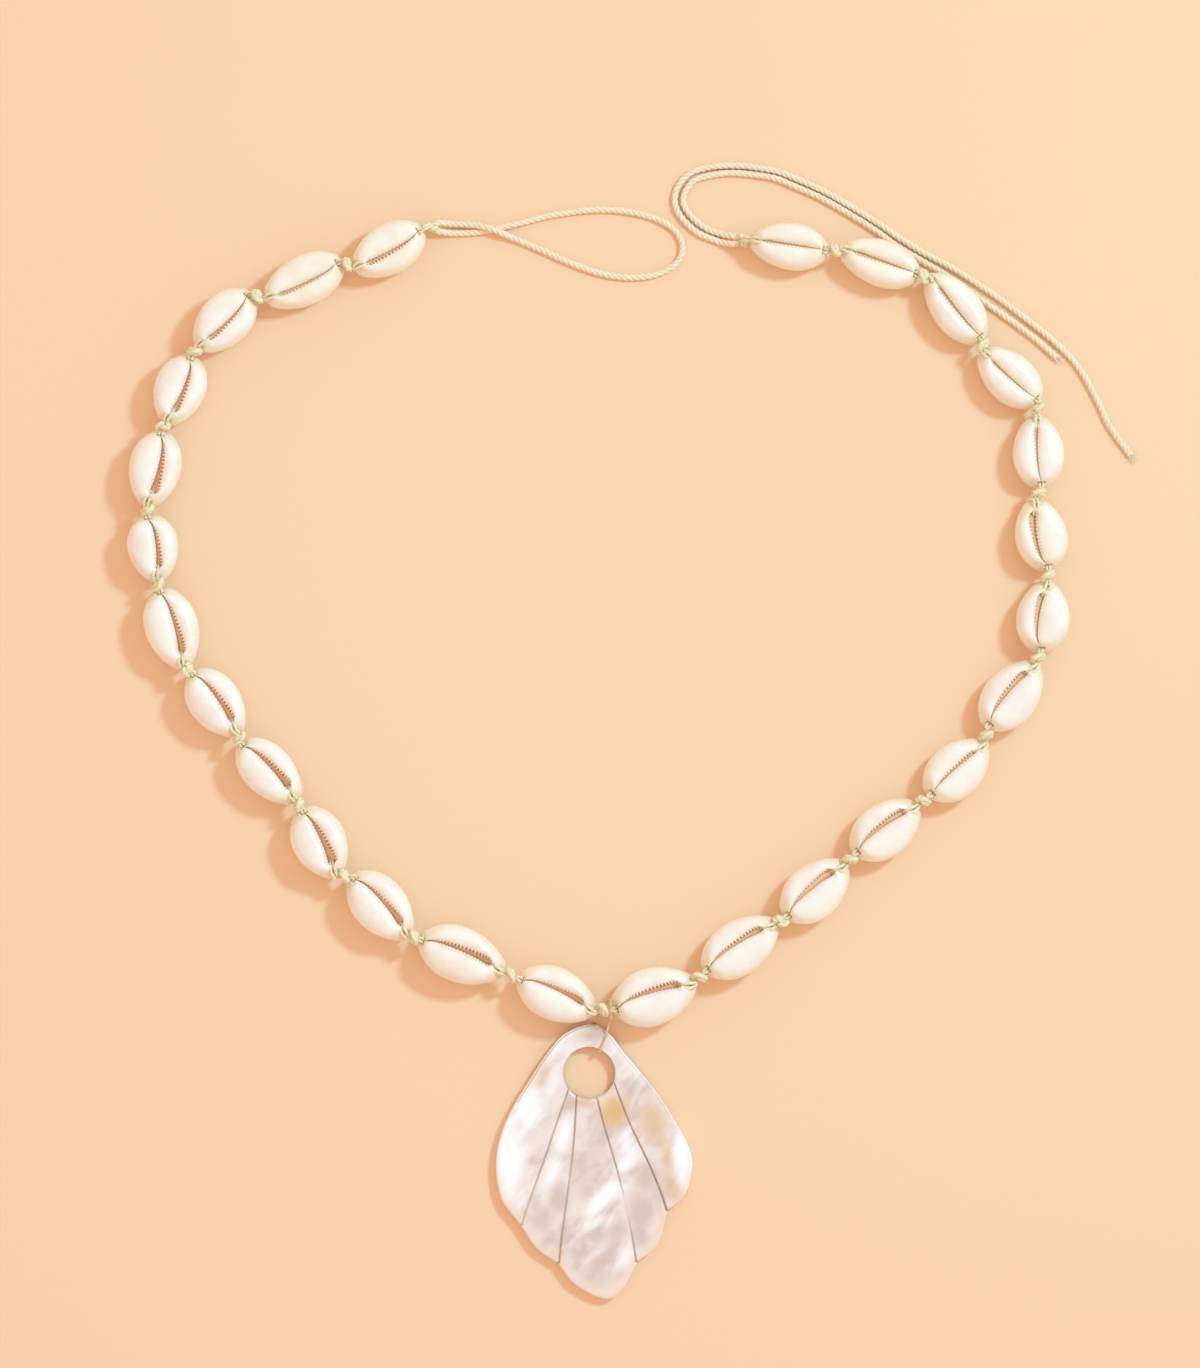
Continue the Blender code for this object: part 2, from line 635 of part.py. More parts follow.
def cut(target, cutter):
    """Cut one object out of another, and keep the cutter as a wire guide."""
    cutter.hide_render = True
    cutter.display_type = "WIRE"
    modifier = target.modifiers.new(cutter.name, "BOOLEAN")
    modifier.operation = "DIFFERENCE"
    modifier.solver = "EXACT"
    modifier.object = cutter


def build_pendant(root):
    """The scalloped plate with its hole, its thinned back and four engraved grooves."""
    nacre = make_material("pendant_nacre", NACRE)
    guide = make_material("cutter_guide", GUIDE_GREY)
    place = Matrix.Translation(pendant_top)
    plate = add_solid("pendant", plate_mesh("pendant"), nacre, root)
    plate.matrix_local = place
    cutters = [("pendant_hole_cutter", hole_mesh("pendant_hole_cutter"))]
    cutters.append(("pendant_relief_cutter", relief_mesh("pendant_relief_cutter")))
    for number, groove in enumerate(GROOVES, start=1):
        name = f"pendant_groove_cutter_{number}"
        cutters.append((name, groove_mesh(name, groove)))
    for name, data in cutters:
        cutter = add_object(name, data, guide, root)
        cutter.matrix_local = place
        cut(plate, cutter)
    return plate


def build_pendant_thread(knot, root):
    """The thread ring: over the cord beside the middle knot, through the pendant's hole and back."""
    lying = THREAD_DIAMETER / 2
    reach = THREAD_CLEARANCE + lying
    front = STRING_DIAMETER / 2 + reach
    hole = pendant_top + hole_middle
    aside = PENDANT_HOLE * THREAD_ASIDE
    entry = hole.x + aside
    rim = hole.y + math.sqrt((PENDANT_HOLE / 2) ** 2 - aside ** 2)
    across = (
        entry - THREAD_LEFT * reach,
        entry,
        knot.x + KNOT_LENGTH / 2 + THREAD_BESIDE * reach,
    )
    along = (rim - reach, rim, pendant_top.y, knot.y - front, knot.y, knot.y + front)
    up = (
        lying,
        PENDANT_THICKNESS + reach,
        knot_height - KNOT_WIDTH / 2 - reach,
        knot_height + front,
    )
    corners = [
        Vector((read_ruler(across, x), read_ruler(along, y), read_ruler(up, z))) for x, y, z in THREAD_ROUTE
    ]
    points = smooth_curve(corners, THREAD_STEPS, closed=True)
    for point in points:
        point.z = max(point.z, lying)
    material = make_material("pendant_thread_cotton", THREAD_COTTON)
    radii = [THREAD_DIAMETER / 2] * len(points)
    add_tube("pendant_thread", points, radii, material, root, THREAD_ROUNDNESS, closed=True)


def centre_on_origin(root, solids):
    """Move the whole necklace so that its rigid pieces stand centred over the origin."""
    bpy.context.view_layer.update()
    corners = [piece.matrix_world @ vertex.co for piece in solids for vertex in piece.data.vertices]
    lowest = [min(corner[axis] for corner in corners) for axis in range(3)]
    highest = [max(corner[axis] for corner in corners) for axis in range(3)]
    root.location = (
        -(lowest[0] + highest[0]) / 2,
        -(lowest[1] + highest[1]) / 2,
        -lowest[2],
    )


def build_necklace():
    """Build all pieces around the middle knot, then centre them."""
    for piece in list(bpy.data.objects):
        bpy.data.objects.remove(piece)
    root = bpy.data.objects.new("necklace_root", None)
    bpy.context.scene.collection.objects.link(root)
    arms = {
        "left": (LEFT_ARM, walk_knots(STRING_ROUTE_LEFT, LEFT_ARM)),
        "right": (RIGHT_ARM, walk_knots(STRING_ROUTE_RIGHT, RIGHT_ARM)),
    }
    placed = build_cowries(arms, root)
    loop_knot, tail_knot, middle_knot = build_stringing_cord(placed, root)
    build_free_cord("loop_cord", LOOP_ROUTE, loop_knot, root)
    build_free_cord("tie_cord_long", LONG_TAIL_ROUTE, tail_knot, root)
    build_free_cord("tie_cord_short", SHORT_TAIL_ROUTE, tail_knot, root)
    plate = build_pendant(root)
    build_pendant_thread(middle_knot, root)
    shells = [piece for piece in bpy.data.objects if piece.name.startswith("cowrie_")]
    centre_on_origin(root, shells + [plate])


build_necklace()
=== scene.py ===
"""Looks of the shell necklace: cowrie enamel, twisted cotton, mother-of-pearl and the studio.

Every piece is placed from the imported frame, in metres, with +Z up from the surface that the
necklace lies on.
"""

from __future__ import annotations

import logging
import math
import random
from dataclasses import dataclass, field
from enum import Enum
from typing import Any

import bpy
import numpy as np
from mathutils import Matrix, Vector


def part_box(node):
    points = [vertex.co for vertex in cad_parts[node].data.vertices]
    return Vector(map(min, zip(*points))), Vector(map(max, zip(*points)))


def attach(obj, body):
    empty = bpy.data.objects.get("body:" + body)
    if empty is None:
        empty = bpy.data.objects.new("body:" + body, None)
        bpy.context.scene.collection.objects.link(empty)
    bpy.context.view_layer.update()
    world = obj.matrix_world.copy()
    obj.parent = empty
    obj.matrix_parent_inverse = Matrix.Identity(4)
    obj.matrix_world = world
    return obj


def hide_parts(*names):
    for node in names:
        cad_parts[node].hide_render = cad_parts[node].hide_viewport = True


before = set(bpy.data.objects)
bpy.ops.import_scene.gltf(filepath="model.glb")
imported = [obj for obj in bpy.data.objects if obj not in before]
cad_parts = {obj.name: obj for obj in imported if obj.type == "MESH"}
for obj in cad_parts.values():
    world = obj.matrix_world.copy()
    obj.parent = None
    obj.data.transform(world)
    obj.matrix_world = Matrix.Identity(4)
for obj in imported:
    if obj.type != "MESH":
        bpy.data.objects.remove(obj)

log = logging.getLogger("necklace")

MM = 0.001
ROOT = "root"

# Height of the photograph's frame in pixels, the size of one, and where the camera stands
PHOTO_HEIGHT = 1368
PHOTO_PIXEL = 0.21 * MM
CAMERA_X = 0.268 * MM
CAMERA_Y = 16.057 * MM
FOCUS_HEIGHT = 5.0 * MM


def mix(start: Any, end: Any, share: Any) -> Any:
    """The value a share of the way from start to end; numbers or arrays."""
    return start + (end - start) * share


def smooth_step(value: Any, start: float, end: float) -> Any:
    """Rise from 0 at start to 1 at end, level at both; numbers or arrays."""
    share = np.clip((value - start) / (end - start), 0.0, 1.0)
    return share * share * (3 - 2 * share)


def unit(vector: np.ndarray) -> np.ndarray:
    """Vectors along the last axis, brought to length one."""
    return vector / np.maximum(np.linalg.norm(vector, axis=-1, keepdims=True), 1e-12)


def linear(code: str) -> tuple[float, float, float, float]:
    """Turn an sRGB hex colour into the linear one that a shader takes.

    Args:
        code: Six hex digits after a #.

    Returns:
        Linear red, green and blue, and full opacity.
    """
    shares = [int(code[start:start + 2], 16) / 255 for start in (1, 3, 5)]
    red, green, blue = (s / 12.92 if s <= 0.04045 else ((s + 0.055) / 1.055) ** 2.4 for s in shares)
    return red, green, blue, 1.0


def smooth_curve(points: np.ndarray, steps: int, closed: bool = False) -> np.ndarray:
    """Points of a smooth curve through the given ones.

    Args:
        points: One row per given point.
        steps: Spans' subdivisions.
        closed: Whether the last point joins the first.

    Returns:
        The curve's points; a closed curve doesn't repeat its first one.
    """
    points = np.asarray(points, float)
    if closed:
        padded = np.vstack([points[-1:], points, points[:2]])
    else:
        padded = np.vstack([2 * points[:1] - points[1:2], points, 2 * points[-1:] - points[-2:-1]])
    before, start, end, after = padded[:-3], padded[1:-2], padded[2:-1], padded[3:]
    spans = []
    for step in range(steps):
        t = step / steps
        spans.append(0.5 * (
            2 * start
            + (end - before) * t
            + (2 * before - 5 * start + 4 * end - after) * t ** 2
            + (3 * start - before - 3 * end + after) * t ** 3
        ))
    curve = np.stack(spans, axis=1).reshape(-1, points.shape[1])
    return curve if closed else np.vstack([curve, points[-1:]])


def distances(path: np.ndarray) -> np.ndarray:
    """Distance of each point of a path from its first, along the path."""
    return np.concatenate([[0.0], np.cumsum(np.linalg.norm(np.diff(path, axis=0), axis=1))])


def points_at(path: np.ndarray, wanted: Any) -> np.ndarray:
    """Find points of a path.

    Args:
        path: Points of the path.
        wanted: Distances along the path from its first point, one or more.

    Returns:
        The points at those distances, with their coordinates along the last axis.
    """
    travelled = distances(path)
    return np.stack([np.interp(wanted, travelled, path[:, axis]) for axis in range(path.shape[1])], axis=-1)


def evenly_spaced(path: np.ndarray, spacing: float) -> np.ndarray:
    """Place a path's points again at even distances, with its ends kept.

    Args:
        path: Points of the path.
        spacing: Distance wanted between two points.

    Returns:
        The new points, as near to that distance as a whole number of steps allows.
    """
    whole = distances(path)[-1]
    count = max(2, round(whole / spacing))
    return points_at(path, np.linspace(0.0, whole, count + 1))


def carried_frames(path: np.ndarray) -> tuple[np.ndarray, np.ndarray]:
    """Two directions across a path at each of its points, carried along without twist.

    Args:
        path: Points of the path.

    Returns:
        Unit vectors across the path, and those at a right angle to both.
    """
    ahead = unit(np.gradient(path, axis=0))
    side = np.cross(ahead[0], (0.0, 0.0, 1.0))
    if np.linalg.norm(side) < 0.1:
        side = np.cross(ahead[0], (1.0, 0.0, 0.0))
    across = np.zeros_like(path)
    across[0] = unit(side)
    for index in range(1, len(path)):
        kept = across[index - 1] - ahead[index] * (across[index - 1] @ ahead[index])
        across[index] = unit(kept)
    return across, np.cross(ahead, across)


@dataclass
class MeshDraft:
    """Vertices, faces and named values of one mesh while it is being put together."""

    points: list[np.ndarray] = field(default_factory=list)
    faces: list[list[int]] = field(default_factory=list)
    slots: list[int] = field(default_factory=list)
    values: dict[str, list[np.ndarray]] = field(default_factory=dict)
    count: int = 0

    def add_points(self, points: np.ndarray, **values: np.ndarray) -> np.ndarray:
        """Add vertices and their values.

        Args:
            points: The vertices' places, as a table of rows and columns.
            **values: A number for each vertex, under the name that the shader reads.

        Returns:
            The new vertices' numbers, as a table of the same rows and columns.
        """
        numbers = np.arange(points[..., 0].size).reshape(points.shape[:-1]) + self.count
        self.count += numbers.size
        self.points.append(points.reshape(-1, 3))
        for name, value in values.items():
            self.values.setdefault(name, []).append(np.asarray(value, float).reshape(-1))
        return numbers

    def add_faces(self, corners: np.ndarray, slot: int = 0) -> None:
        """Add a face for each row of vertex numbers, all with one material slot."""
        self.faces.extend(corners.tolist())
        self.slots.extend([slot] * len(corners))

    def add_quads(self, numbers: np.ndarray, slot: int = 0) -> None:
        """Add a face between every four neighbours in a table of vertex numbers."""
        corners = [numbers[:-1, :-1], numbers[:-1, 1:], numbers[1:, 1:], numbers[1:, :-1]]
        self.add_faces(np.stack(corners, axis=-1).reshape(-1, 4), slot)

    def bridge(self, one: np.ndarray, other: np.ndarray) -> None:
        """Close the strip between two rows of vertices with triangles, whatever their counts.

        Args:
            one: Numbers of the vertices on one side.
            other: Numbers of those on the other side, in the same direction.
        """
        here, there, faces = 0, 0, []
        while here < len(one) - 1 or there < len(other) - 1:
            if (here + 1) / (len(one) - 1) <= (there + 1) / (len(other) - 1):
                faces.append((one[here], one[here + 1], other[there]))
                here += 1
            else:
                faces.append((one[here], other[there + 1], other[there]))
                there += 1
        self.add_faces(np.array(faces))

    def build(self, name: str, materials: list[bpy.types.Material]) -> bpy.types.Object:
        """Make the object, shaded smooth, and let it ride on the necklace's body.

        Args:
            name: The piece's name.
            materials: Its materials, in the order of the slots.

        Returns:
            The new object.
        """
        data = bpy.data.meshes.new(name)
        data.from_pydata(np.vstack(self.points).tolist(), [], self.faces)
        for value, parts in self.values.items():
            attribute = data.attributes.new(value, "FLOAT", "POINT")
            attribute.data.foreach_set("value", np.concatenate(parts).astype(np.float32))
        for material in materials:
            data.materials.append(material)
        data.polygons.foreach_set("material_index", self.slots)
        data.shade_smooth()
        data.update()
        piece = bpy.data.objects.new(name, data)
        bpy.context.scene.collection.objects.link(piece)
        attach(piece, ROOT)
        return piece


# Fibres fill the valleys between the yarns of a cord up to this share of its radius
VALLEY_RADIUS = 0.86


class Lay(Enum):
    """How many yarns are laid together in a cord, and how closely its outline is drawn."""

    CORD = (3, 8)
    YARN = (3, 4)

    def outline(self) -> tuple[np.ndarray, np.ndarray]:
        """Draw the lobed section of the cord.

        Returns:
            The angles of its points and their radii, the largest of which is one.
        """
        yarns, steps = self.value
        lobe = math.pi / yarns
        yarn_radius = 1 / (1 + 1 / math.sin(lobe))
        centre = 1 - yarn_radius
        angle = np.linspace(0.0, math.tau, yarns * steps, endpoint=False)
        off = (angle + lobe) % (2 * lobe) - lobe
        height = np.sqrt(np.maximum(yarn_radius ** 2 - (centre * np.sin(off)) ** 2, 0.0))
        return angle, np.maximum(centre * np.cos(off) + height, VALLEY_RADIUS)


def add_cord(
    draft: MeshDraft,
    path: np.ndarray,
    radius: float,
    lay: Lay,
    pitch: float,
    turn: float = 0.0,
) -> None:
    """Add a twisted cord along a path.

    Args:
        draft: Mesh that receives it.
        path: Points of its centre line.
        radius: Largest radius of its section.
        lay: Section of the cord.
        pitch: Length of one full twist.
        turn: Angle of the section at the start.
    """
    across, up = carried_frames(path)
    travelled = distances(path)
    angle, share = lay.outline()
    twist = turn + math.tau * travelled / pitch
    whole = angle + twist[:, None]
    rows = (
        path[:, None]
        + (radius * share * np.cos(whole))[..., None] * across[:, None]
        + (radius * share * np.sin(whole))[..., None] * up[:, None]
    )
    shape = rows.shape[:2]
    numbers = draft.add_points(
        rows,
        along=np.broadcast_to(travelled[:, None], shape),
        around=np.broadcast_to(angle / math.tau, shape),
        # How deep a point lies between the yarns: the mask of the painted shade in the valleys
        valley=np.broadcast_to(1 - (share - VALLEY_RADIUS) / (1 - VALLEY_RADIUS), shape),
    )
    draft.add_quads(np.hstack([numbers, numbers[:, :1]]))
    draft.add_faces(np.stack([numbers[0, ::-1], numbers[-1]]))


# Sockets of a Mix node that mixes colours
COLOUR_A, COLOUR_B, COLOUR_OUT = 6, 7, 2
# Values or output sockets for a node's inputs, by the input's name or number
Inputs = dict[str | int, Any]


def fill(tree: bpy.types.NodeTree, node: bpy.types.Node, inputs: Inputs) -> None:
    """Set a node's inputs, or link them to the sockets that feed them.

    Args:
        tree: The node's tree.
        node: The node.
        inputs: What its inputs get.
    """
    for key, value in inputs.items():
        if isinstance(value, bpy.types.NodeSocket):
            tree.links.new(value, node.inputs[key])
        else:
            node.inputs[key].default_value = value


def add_node(
    tree: bpy.types.NodeTree,
    kind: str,
    inputs: Inputs | None = None,
    **settings: Any,
) -> bpy.types.Node:
    """Add a node to a shader.

    Args:
        tree: The material's or the light's node tree.
        kind: The node's type name.
        inputs: What its inputs get.
        **settings: The node's own settings.

    Returns:
        The new node.
    """
    node = tree.nodes.new(kind)
    for name, value in settings.items():
        setattr(node, name, value)
    fill(tree, node, inputs or {})
    return node


class Tint(Enum):
    """Tints that show in patches on the pendant, in the order in which they are laid; the last is painted
    highlight.
    """

    LILAC = "lilac"
    TAN = "tan"
    BRIGHT = "bright"


@dataclass(frozen=True)
class Finish:
    """A surface finish; each kind of surface fills in its own nodes."""

    name: str
    roughness: float
    ior: float = 1.5

    def material(self) -> bpy.types.Material:
        """Make the material with the nodes of its surface, or hand out the one already made.

        Returns:
            The material that bears the finish's name.
        """
        made = bpy.data.materials.get(self.name)
        if made is not None:
            return made
        made = bpy.data.materials.new(self.name)
        made.use_nodes = True
        tree = made.node_tree
        inputs = {"IOR": self.ior, "Roughness": self.roughness, **self.dress(tree)}
        fill(tree, tree.nodes["Principled BSDF"], inputs)
        return made

    def dress(self, tree: bpy.types.NodeTree) -> Inputs:
        """Add the surface's own nodes, and return what the shader's inputs get."""
        raise NotImplementedError


@dataclass(frozen=True)
class CowrieEnamel(Finish):
    """Enamel of a cowrie, laid down and polished by the animal: a glossy warm white.

    The eye sees near white domes with a faint blush and cream towards the margins and tips; the
    margins' cream is partly painted warm bounce light from the card, and the peach between the teeth
    and under the lips is painted shade.
    """

    white: str = "#FCF6E8"
    blush: str = "#FAE7D9"
    cream: str = "#FAECD2"
    # Painted shade: the peach that darkens the gaps between the teeth and the lips' undersides
    peach: str = "#D68A50"
    # Size of the blush's clouds, and between which of their values the blush and the cream come in
    blush_patch: float = 5.0 * MM
    blush_from: tuple[float, float] = (0.42, 0.72)
    cream_from: tuple[float, float] = (0.12, 0.6)
    growth_line: float = 0.35 * MM
    uneven: float = 0.06
    uneven_depth: float = 0.05 * MM
    # The polish differs with the clouds: the values between which it does, and how far each way
    polish_from: tuple[float, float] = (0.3, 0.7)
    smoother: float = 0.05
    rougher: float = 0.08
    coat: float = 0.25
    coat_roughness: float = 0.08
    glow: float = 0.2
    glow_spread: tuple[float, float, float] = (1.0, 0.6, 0.4)
    glow_depth: float = 1.0 * MM

    def dress(self, tree: bpy.types.NodeTree) -> Inputs:
        """Add the blush, the cream margins with their painted bounce light, the painted peach shade of the
        teeth and lips, and a faint unevenness.

        Args:
            tree: The material's node tree.

        Returns:
            What the shader's inputs get.
        """
        place = add_node(tree, "ShaderNodeTexCoord").outputs["Object"]
        clouds, grain = (
            add_node(tree, "ShaderNodeTexNoise", {
                "Vector": place, "Scale": 1 / size, "Detail": detail,
            }).outputs["Fac"]
            for size, detail in ((self.blush_patch, 3.0), (self.growth_line, 2.0))
        )
        rim, groove = (
            add_node(tree, "ShaderNodeAttribute", attribute_name=name).outputs["Fac"]
            for name in ("rim", "groove")
        )
        clouded_rim = add_node(tree, "ShaderNodeMath", {0: rim, 1: clouds}, operation="MULTIPLY").outputs[0]
        blush, cream = (
            add_node(tree, "ShaderNodeMapRange", {
                "Value": value, "From Min": low, "From Max": high,
            }, interpolation_type=ramp).outputs["Result"]
            for value, (low, high), ramp in (
                (clouds, self.blush_from, "LINEAR"),
                (clouded_rim, self.cream_from, "SMOOTHSTEP"),
            )
        )
        colour = linear(self.white)
        # The groove value brings in the painted peach shade of the tooth gaps and under the lips
        for share, tint in ((blush, self.blush), (cream, self.cream), (groove, self.peach)):
            colour = add_node(tree, "ShaderNodeMix", {
                "Factor": share, COLOUR_A: colour, COLOUR_B: linear(tint),
            }, data_type="RGBA").outputs[COLOUR_OUT]
        bump = add_node(tree, "ShaderNodeBump", {
            "Height": grain, "Strength": self.uneven, "Distance": self.uneven_depth,
        }).outputs["Normal"]
        polish = add_node(tree, "ShaderNodeMapRange", {
            "Value": clouds, "From Min": self.polish_from[0], "From Max": self.polish_from[1],
            "To Min": self.roughness - self.smoother, "To Max": self.roughness + self.rougher,
        }).outputs["Result"]
        return {
            "Base Color": colour, "Roughness": polish, "Normal": bump,
            "Coat Weight": self.coat, "Coat Roughness": self.coat_roughness,
            "Subsurface Weight": self.glow, "Subsurface Radius": self.glow_spread,
            "Subsurface Scale": self.glow_depth,
        }


@dataclass(frozen=True)
class InnerWhorl(Finish):
    """Unpolished inside of a cowrie in pale orange, painted warm glow: the eye sees a warm orange brown in
    the shaded slot, and the colour stands in for the bounce light and the light through the enamel there.
    """

    # Painted warm glow: pale orange and brown that brighten the shaded slot
    orange: str = "#FFDDAE"
    brown: str = "#FFB878"
    patch: float = 1.2 * MM

    def dress(self, tree: bpy.types.NodeTree) -> Inputs:
        """Add the clouded orange of the painted warm glow.

        Args:
            tree: The material's node tree.

        Returns:
            What the shader's inputs get.
        """
        place = add_node(tree, "ShaderNodeTexCoord").outputs["Object"]
        clouds = add_node(tree, "ShaderNodeTexNoise", {
            "Vector": place, "Scale": 1 / self.patch, "Detail": 3.0,
        }).outputs["Fac"]
        colour = add_node(tree, "ShaderNodeMix", {
            "Factor": clouds, COLOUR_A: linear(self.orange), COLOUR_B: linear(self.brown),
        }, data_type="RGBA").outputs[COLOUR_OUT]
        return {"Base Color": colour}


@dataclass(frozen=True)
class TwistedCotton(Finish):
    """Cotton yarn twisted into cord: matte, with fine fibres that run along the twist.

    The eye sees a soft cream with a slight haze of fibre; the valleys between the yarns get painted shade.
    A cotton fibre is about 0.02 mm thick; the fibres are drawn six times as coarse, so that they show.
    """

    light: str = "#FFF3DE"
    shade: str = "#FFE8C8"
    # Painted shade: the darker tint of the valleys between the yarns
    valley: str = "#F2DAB4"
    # The fibres' thickness, length and relief, and the length around the cord that they cover
    fibre: float = 0.12 * MM
    fibre_run: float = 1.2 * MM
    fibre_relief: float = 0.5
    fibre_depth: float = 0.06 * MM
    girth: float = 3.8 * MM
    valley_start: float = 0.45
    valley_shade: float = 0.85
    sheen: float = 0.2
    sheen_roughness: float = 0.5
    glow: float = 0.35
    glow_spread: tuple[float, float, float] = (1.0, 0.8, 0.6)
    glow_depth: float = 0.5 * MM

    def dress(self, tree: bpy.types.NodeTree) -> Inputs:
        """Add the fibres along the cord, the painted shade in the valleys and the sheen.

        Args:
            tree: The material's node tree.

        Returns:
            What the shader's inputs get.
        """
        along, around, valley = (
            add_node(tree, "ShaderNodeAttribute", attribute_name=name).outputs["Fac"]
            for name in ("along", "around", "valley")
        )
        run, turn = (
            add_node(tree, "ShaderNodeMath", {0: way, 1: times}, operation="MULTIPLY").outputs[0]
            for way, times in ((along, 1 / self.fibre_run), (around, self.girth / self.fibre))
        )
        vector = add_node(tree, "ShaderNodeCombineXYZ", {"X": run, "Y": turn}).outputs[0]
        fibres = add_node(tree, "ShaderNodeTexNoise", {
            "Vector": vector, "Scale": 1.0, "Detail": 3.0, "Roughness": 0.6,
        }).outputs["Fac"]
        # Painted shade: the deeper in a valley, the more of the valley colour
        deep = add_node(tree, "ShaderNodeMapRange", {
            "Value": valley, "From Min": self.valley_start, "To Max": self.valley_shade,
        }).outputs["Result"]
        colour = linear(self.shade)
        for share, tint in ((fibres, self.light), (deep, self.valley)):
            colour = add_node(tree, "ShaderNodeMix", {
                "Factor": share, COLOUR_A: colour, COLOUR_B: linear(tint),
            }, data_type="RGBA").outputs[COLOUR_OUT]
        bump = add_node(tree, "ShaderNodeBump", {
            "Height": fibres, "Strength": self.fibre_relief, "Distance": self.fibre_depth,
        }).outputs["Normal"]
        return {
            "Base Color": colour, "Normal": bump,
            "Sheen Weight": self.sheen, "Sheen Roughness": self.sheen_roughness,
            "Subsurface Weight": self.glow, "Subsurface Radius": self.glow_spread,
            "Subsurface Scale": self.glow_depth,
        }


@dataclass(frozen=True)
class MotherOfPearl(Finish):
    """Mother-of-pearl, sawn from a shell and polished: the light comes back from thin layers.

    The eye sees a pinkish grey that turns to lilac in clouds, a tan patch of the outer layer and a silky
    grain.
    Painted highlights stand for white sheets where the layers mirror the lamp, painted sheen lightens
    the silky bands, and painted warm bounce light from the card tints the lower edge.
    """

    pearl: str = "#F3E3D8"
    lilac: str = "#DCC4B9"
    rose: str = "#FAEFE8"
    # Painted highlight: white where the layers mirror the lamp
    bright: str = "#FFFFFF"
    tan: str = "#E8BA84"
    # Painted bounce light: the card's warm light on the lower edge
    warm: str = "#F7DCC6"
    groove: str = "#B08E74"
    # Size of the lilac clouds, and between which of their values they come in
    cloud: float = 5.0 * MM
    cloud_from: tuple[float, float] = (0.40, 0.66)
    # The silky bands, partly the nacre's grain and partly painted sheen: length, width, turn in degrees,
    # sway, the values between which they come in and how much they cover
    silky_sheen: tuple[float, float] = (8.0 * MM, 2.4 * MM)
    silk_turn: float = 52.0
    silk_sway: float = 0.4
    silk_from: tuple[float, float] = (0.36, 0.74)
    silk_cover: float = 0.8
    # How far the silk frays the patches, and between which sums they come in
    ragged: float = 0.9
    patch_from: tuple[float, float] = (0.55, 1.45)
    grain: float = 0.8 * MM
    grain_relief: float = 0.2
    grain_depth: float = 0.06 * MM
    coat: float = 0.3
    coat_roughness: float = 0.12

    def dress(self, tree: bpy.types.NodeTree) -> Inputs:
        """Add the clouds, the silky grain with its painted sheen, the patches of the layers and of painted
        highlight, the painted warm edge and the engraved lines.

        Args:
            tree: The material's node tree.

        Returns:
            What the shader's inputs get.
        """
        place = add_node(tree, "ShaderNodeTexCoord").outputs["Object"]
        turned = add_node(tree, "ShaderNodeMapping", {
            "Vector": place,
            "Rotation": (0.0, 0.0, math.radians(self.silk_turn)),
            "Scale": (self.silky_sheen[0], self.silky_sheen[1], self.silky_sheen[1]),
        }, vector_type="TEXTURE").outputs["Vector"]
        clouds, silky_sheen, fine = (
            add_node(tree, "ShaderNodeTexNoise", {
                "Vector": vector, "Scale": scale, "Detail": 2.0, "Roughness": rough, "Distortion": sway,
            }).outputs["Fac"]
            for vector, scale, rough, sway in (
                (place, 1 / self.cloud, 0.45, 0.0),
                (turned, 1.0, 0.5, self.silk_sway),
                (place, 1 / self.grain, 0.5, 0.0),
            )
        )
        ragged = add_node(tree, "ShaderNodeMath", {0: silky_sheen, 1: self.ragged}, operation="MULTIPLY").outputs[0]
        sources = [
            (clouds, self.cloud_from, 1.0, self.lilac),
            # Painted sheen: the rose lightens the silky bands
            (silky_sheen, self.silk_from, self.silk_cover, self.rose),
        ]
        # The last patches are painted highlight
        for patch, tint in ((Tint.LILAC, self.lilac), (Tint.TAN, self.tan), (Tint.BRIGHT, self.bright)):
            chart = add_node(tree, "ShaderNodeAttribute", attribute_name=patch.value).outputs["Fac"]
            edge = add_node(tree, "ShaderNodeMath", {0: chart, 1: ragged}, operation="ADD").outputs[0]
            sources.append((edge, self.patch_from, 1.0, tint))
        layers = []
        for value, (low, high), cover, tint in sources:
            share = add_node(tree, "ShaderNodeMapRange", {
                "Value": value, "From Min": low, "From Max": high, "To Max": cover,
            }, interpolation_type="SMOOTHSTEP").outputs["Result"]
            layers.append((share, tint))
        # The thin value is painted warm bounce light from the card along the lower edge
        for name, tint in (("thin", self.warm), ("groove", self.groove)):
            share = add_node(tree, "ShaderNodeAttribute", attribute_name=name).outputs["Fac"]
            layers.append((share, tint))
        colour = linear(self.pearl)
        for share, tint in layers:
            colour = add_node(tree, "ShaderNodeMix", {
                "Factor": share, COLOUR_A: colour, COLOUR_B: linear(tint),
            }, data_type="RGBA").outputs[COLOUR_OUT]
        bump = add_node(tree, "ShaderNodeBump", {
            "Height": fine, "Strength": self.grain_relief, "Distance": self.grain_depth,
        }).outputs["Normal"]
        return {
            "Base Color": colour, "Normal": bump,
            "Coat Weight": self.coat, "Coat Roughness": self.coat_roughness,
        }


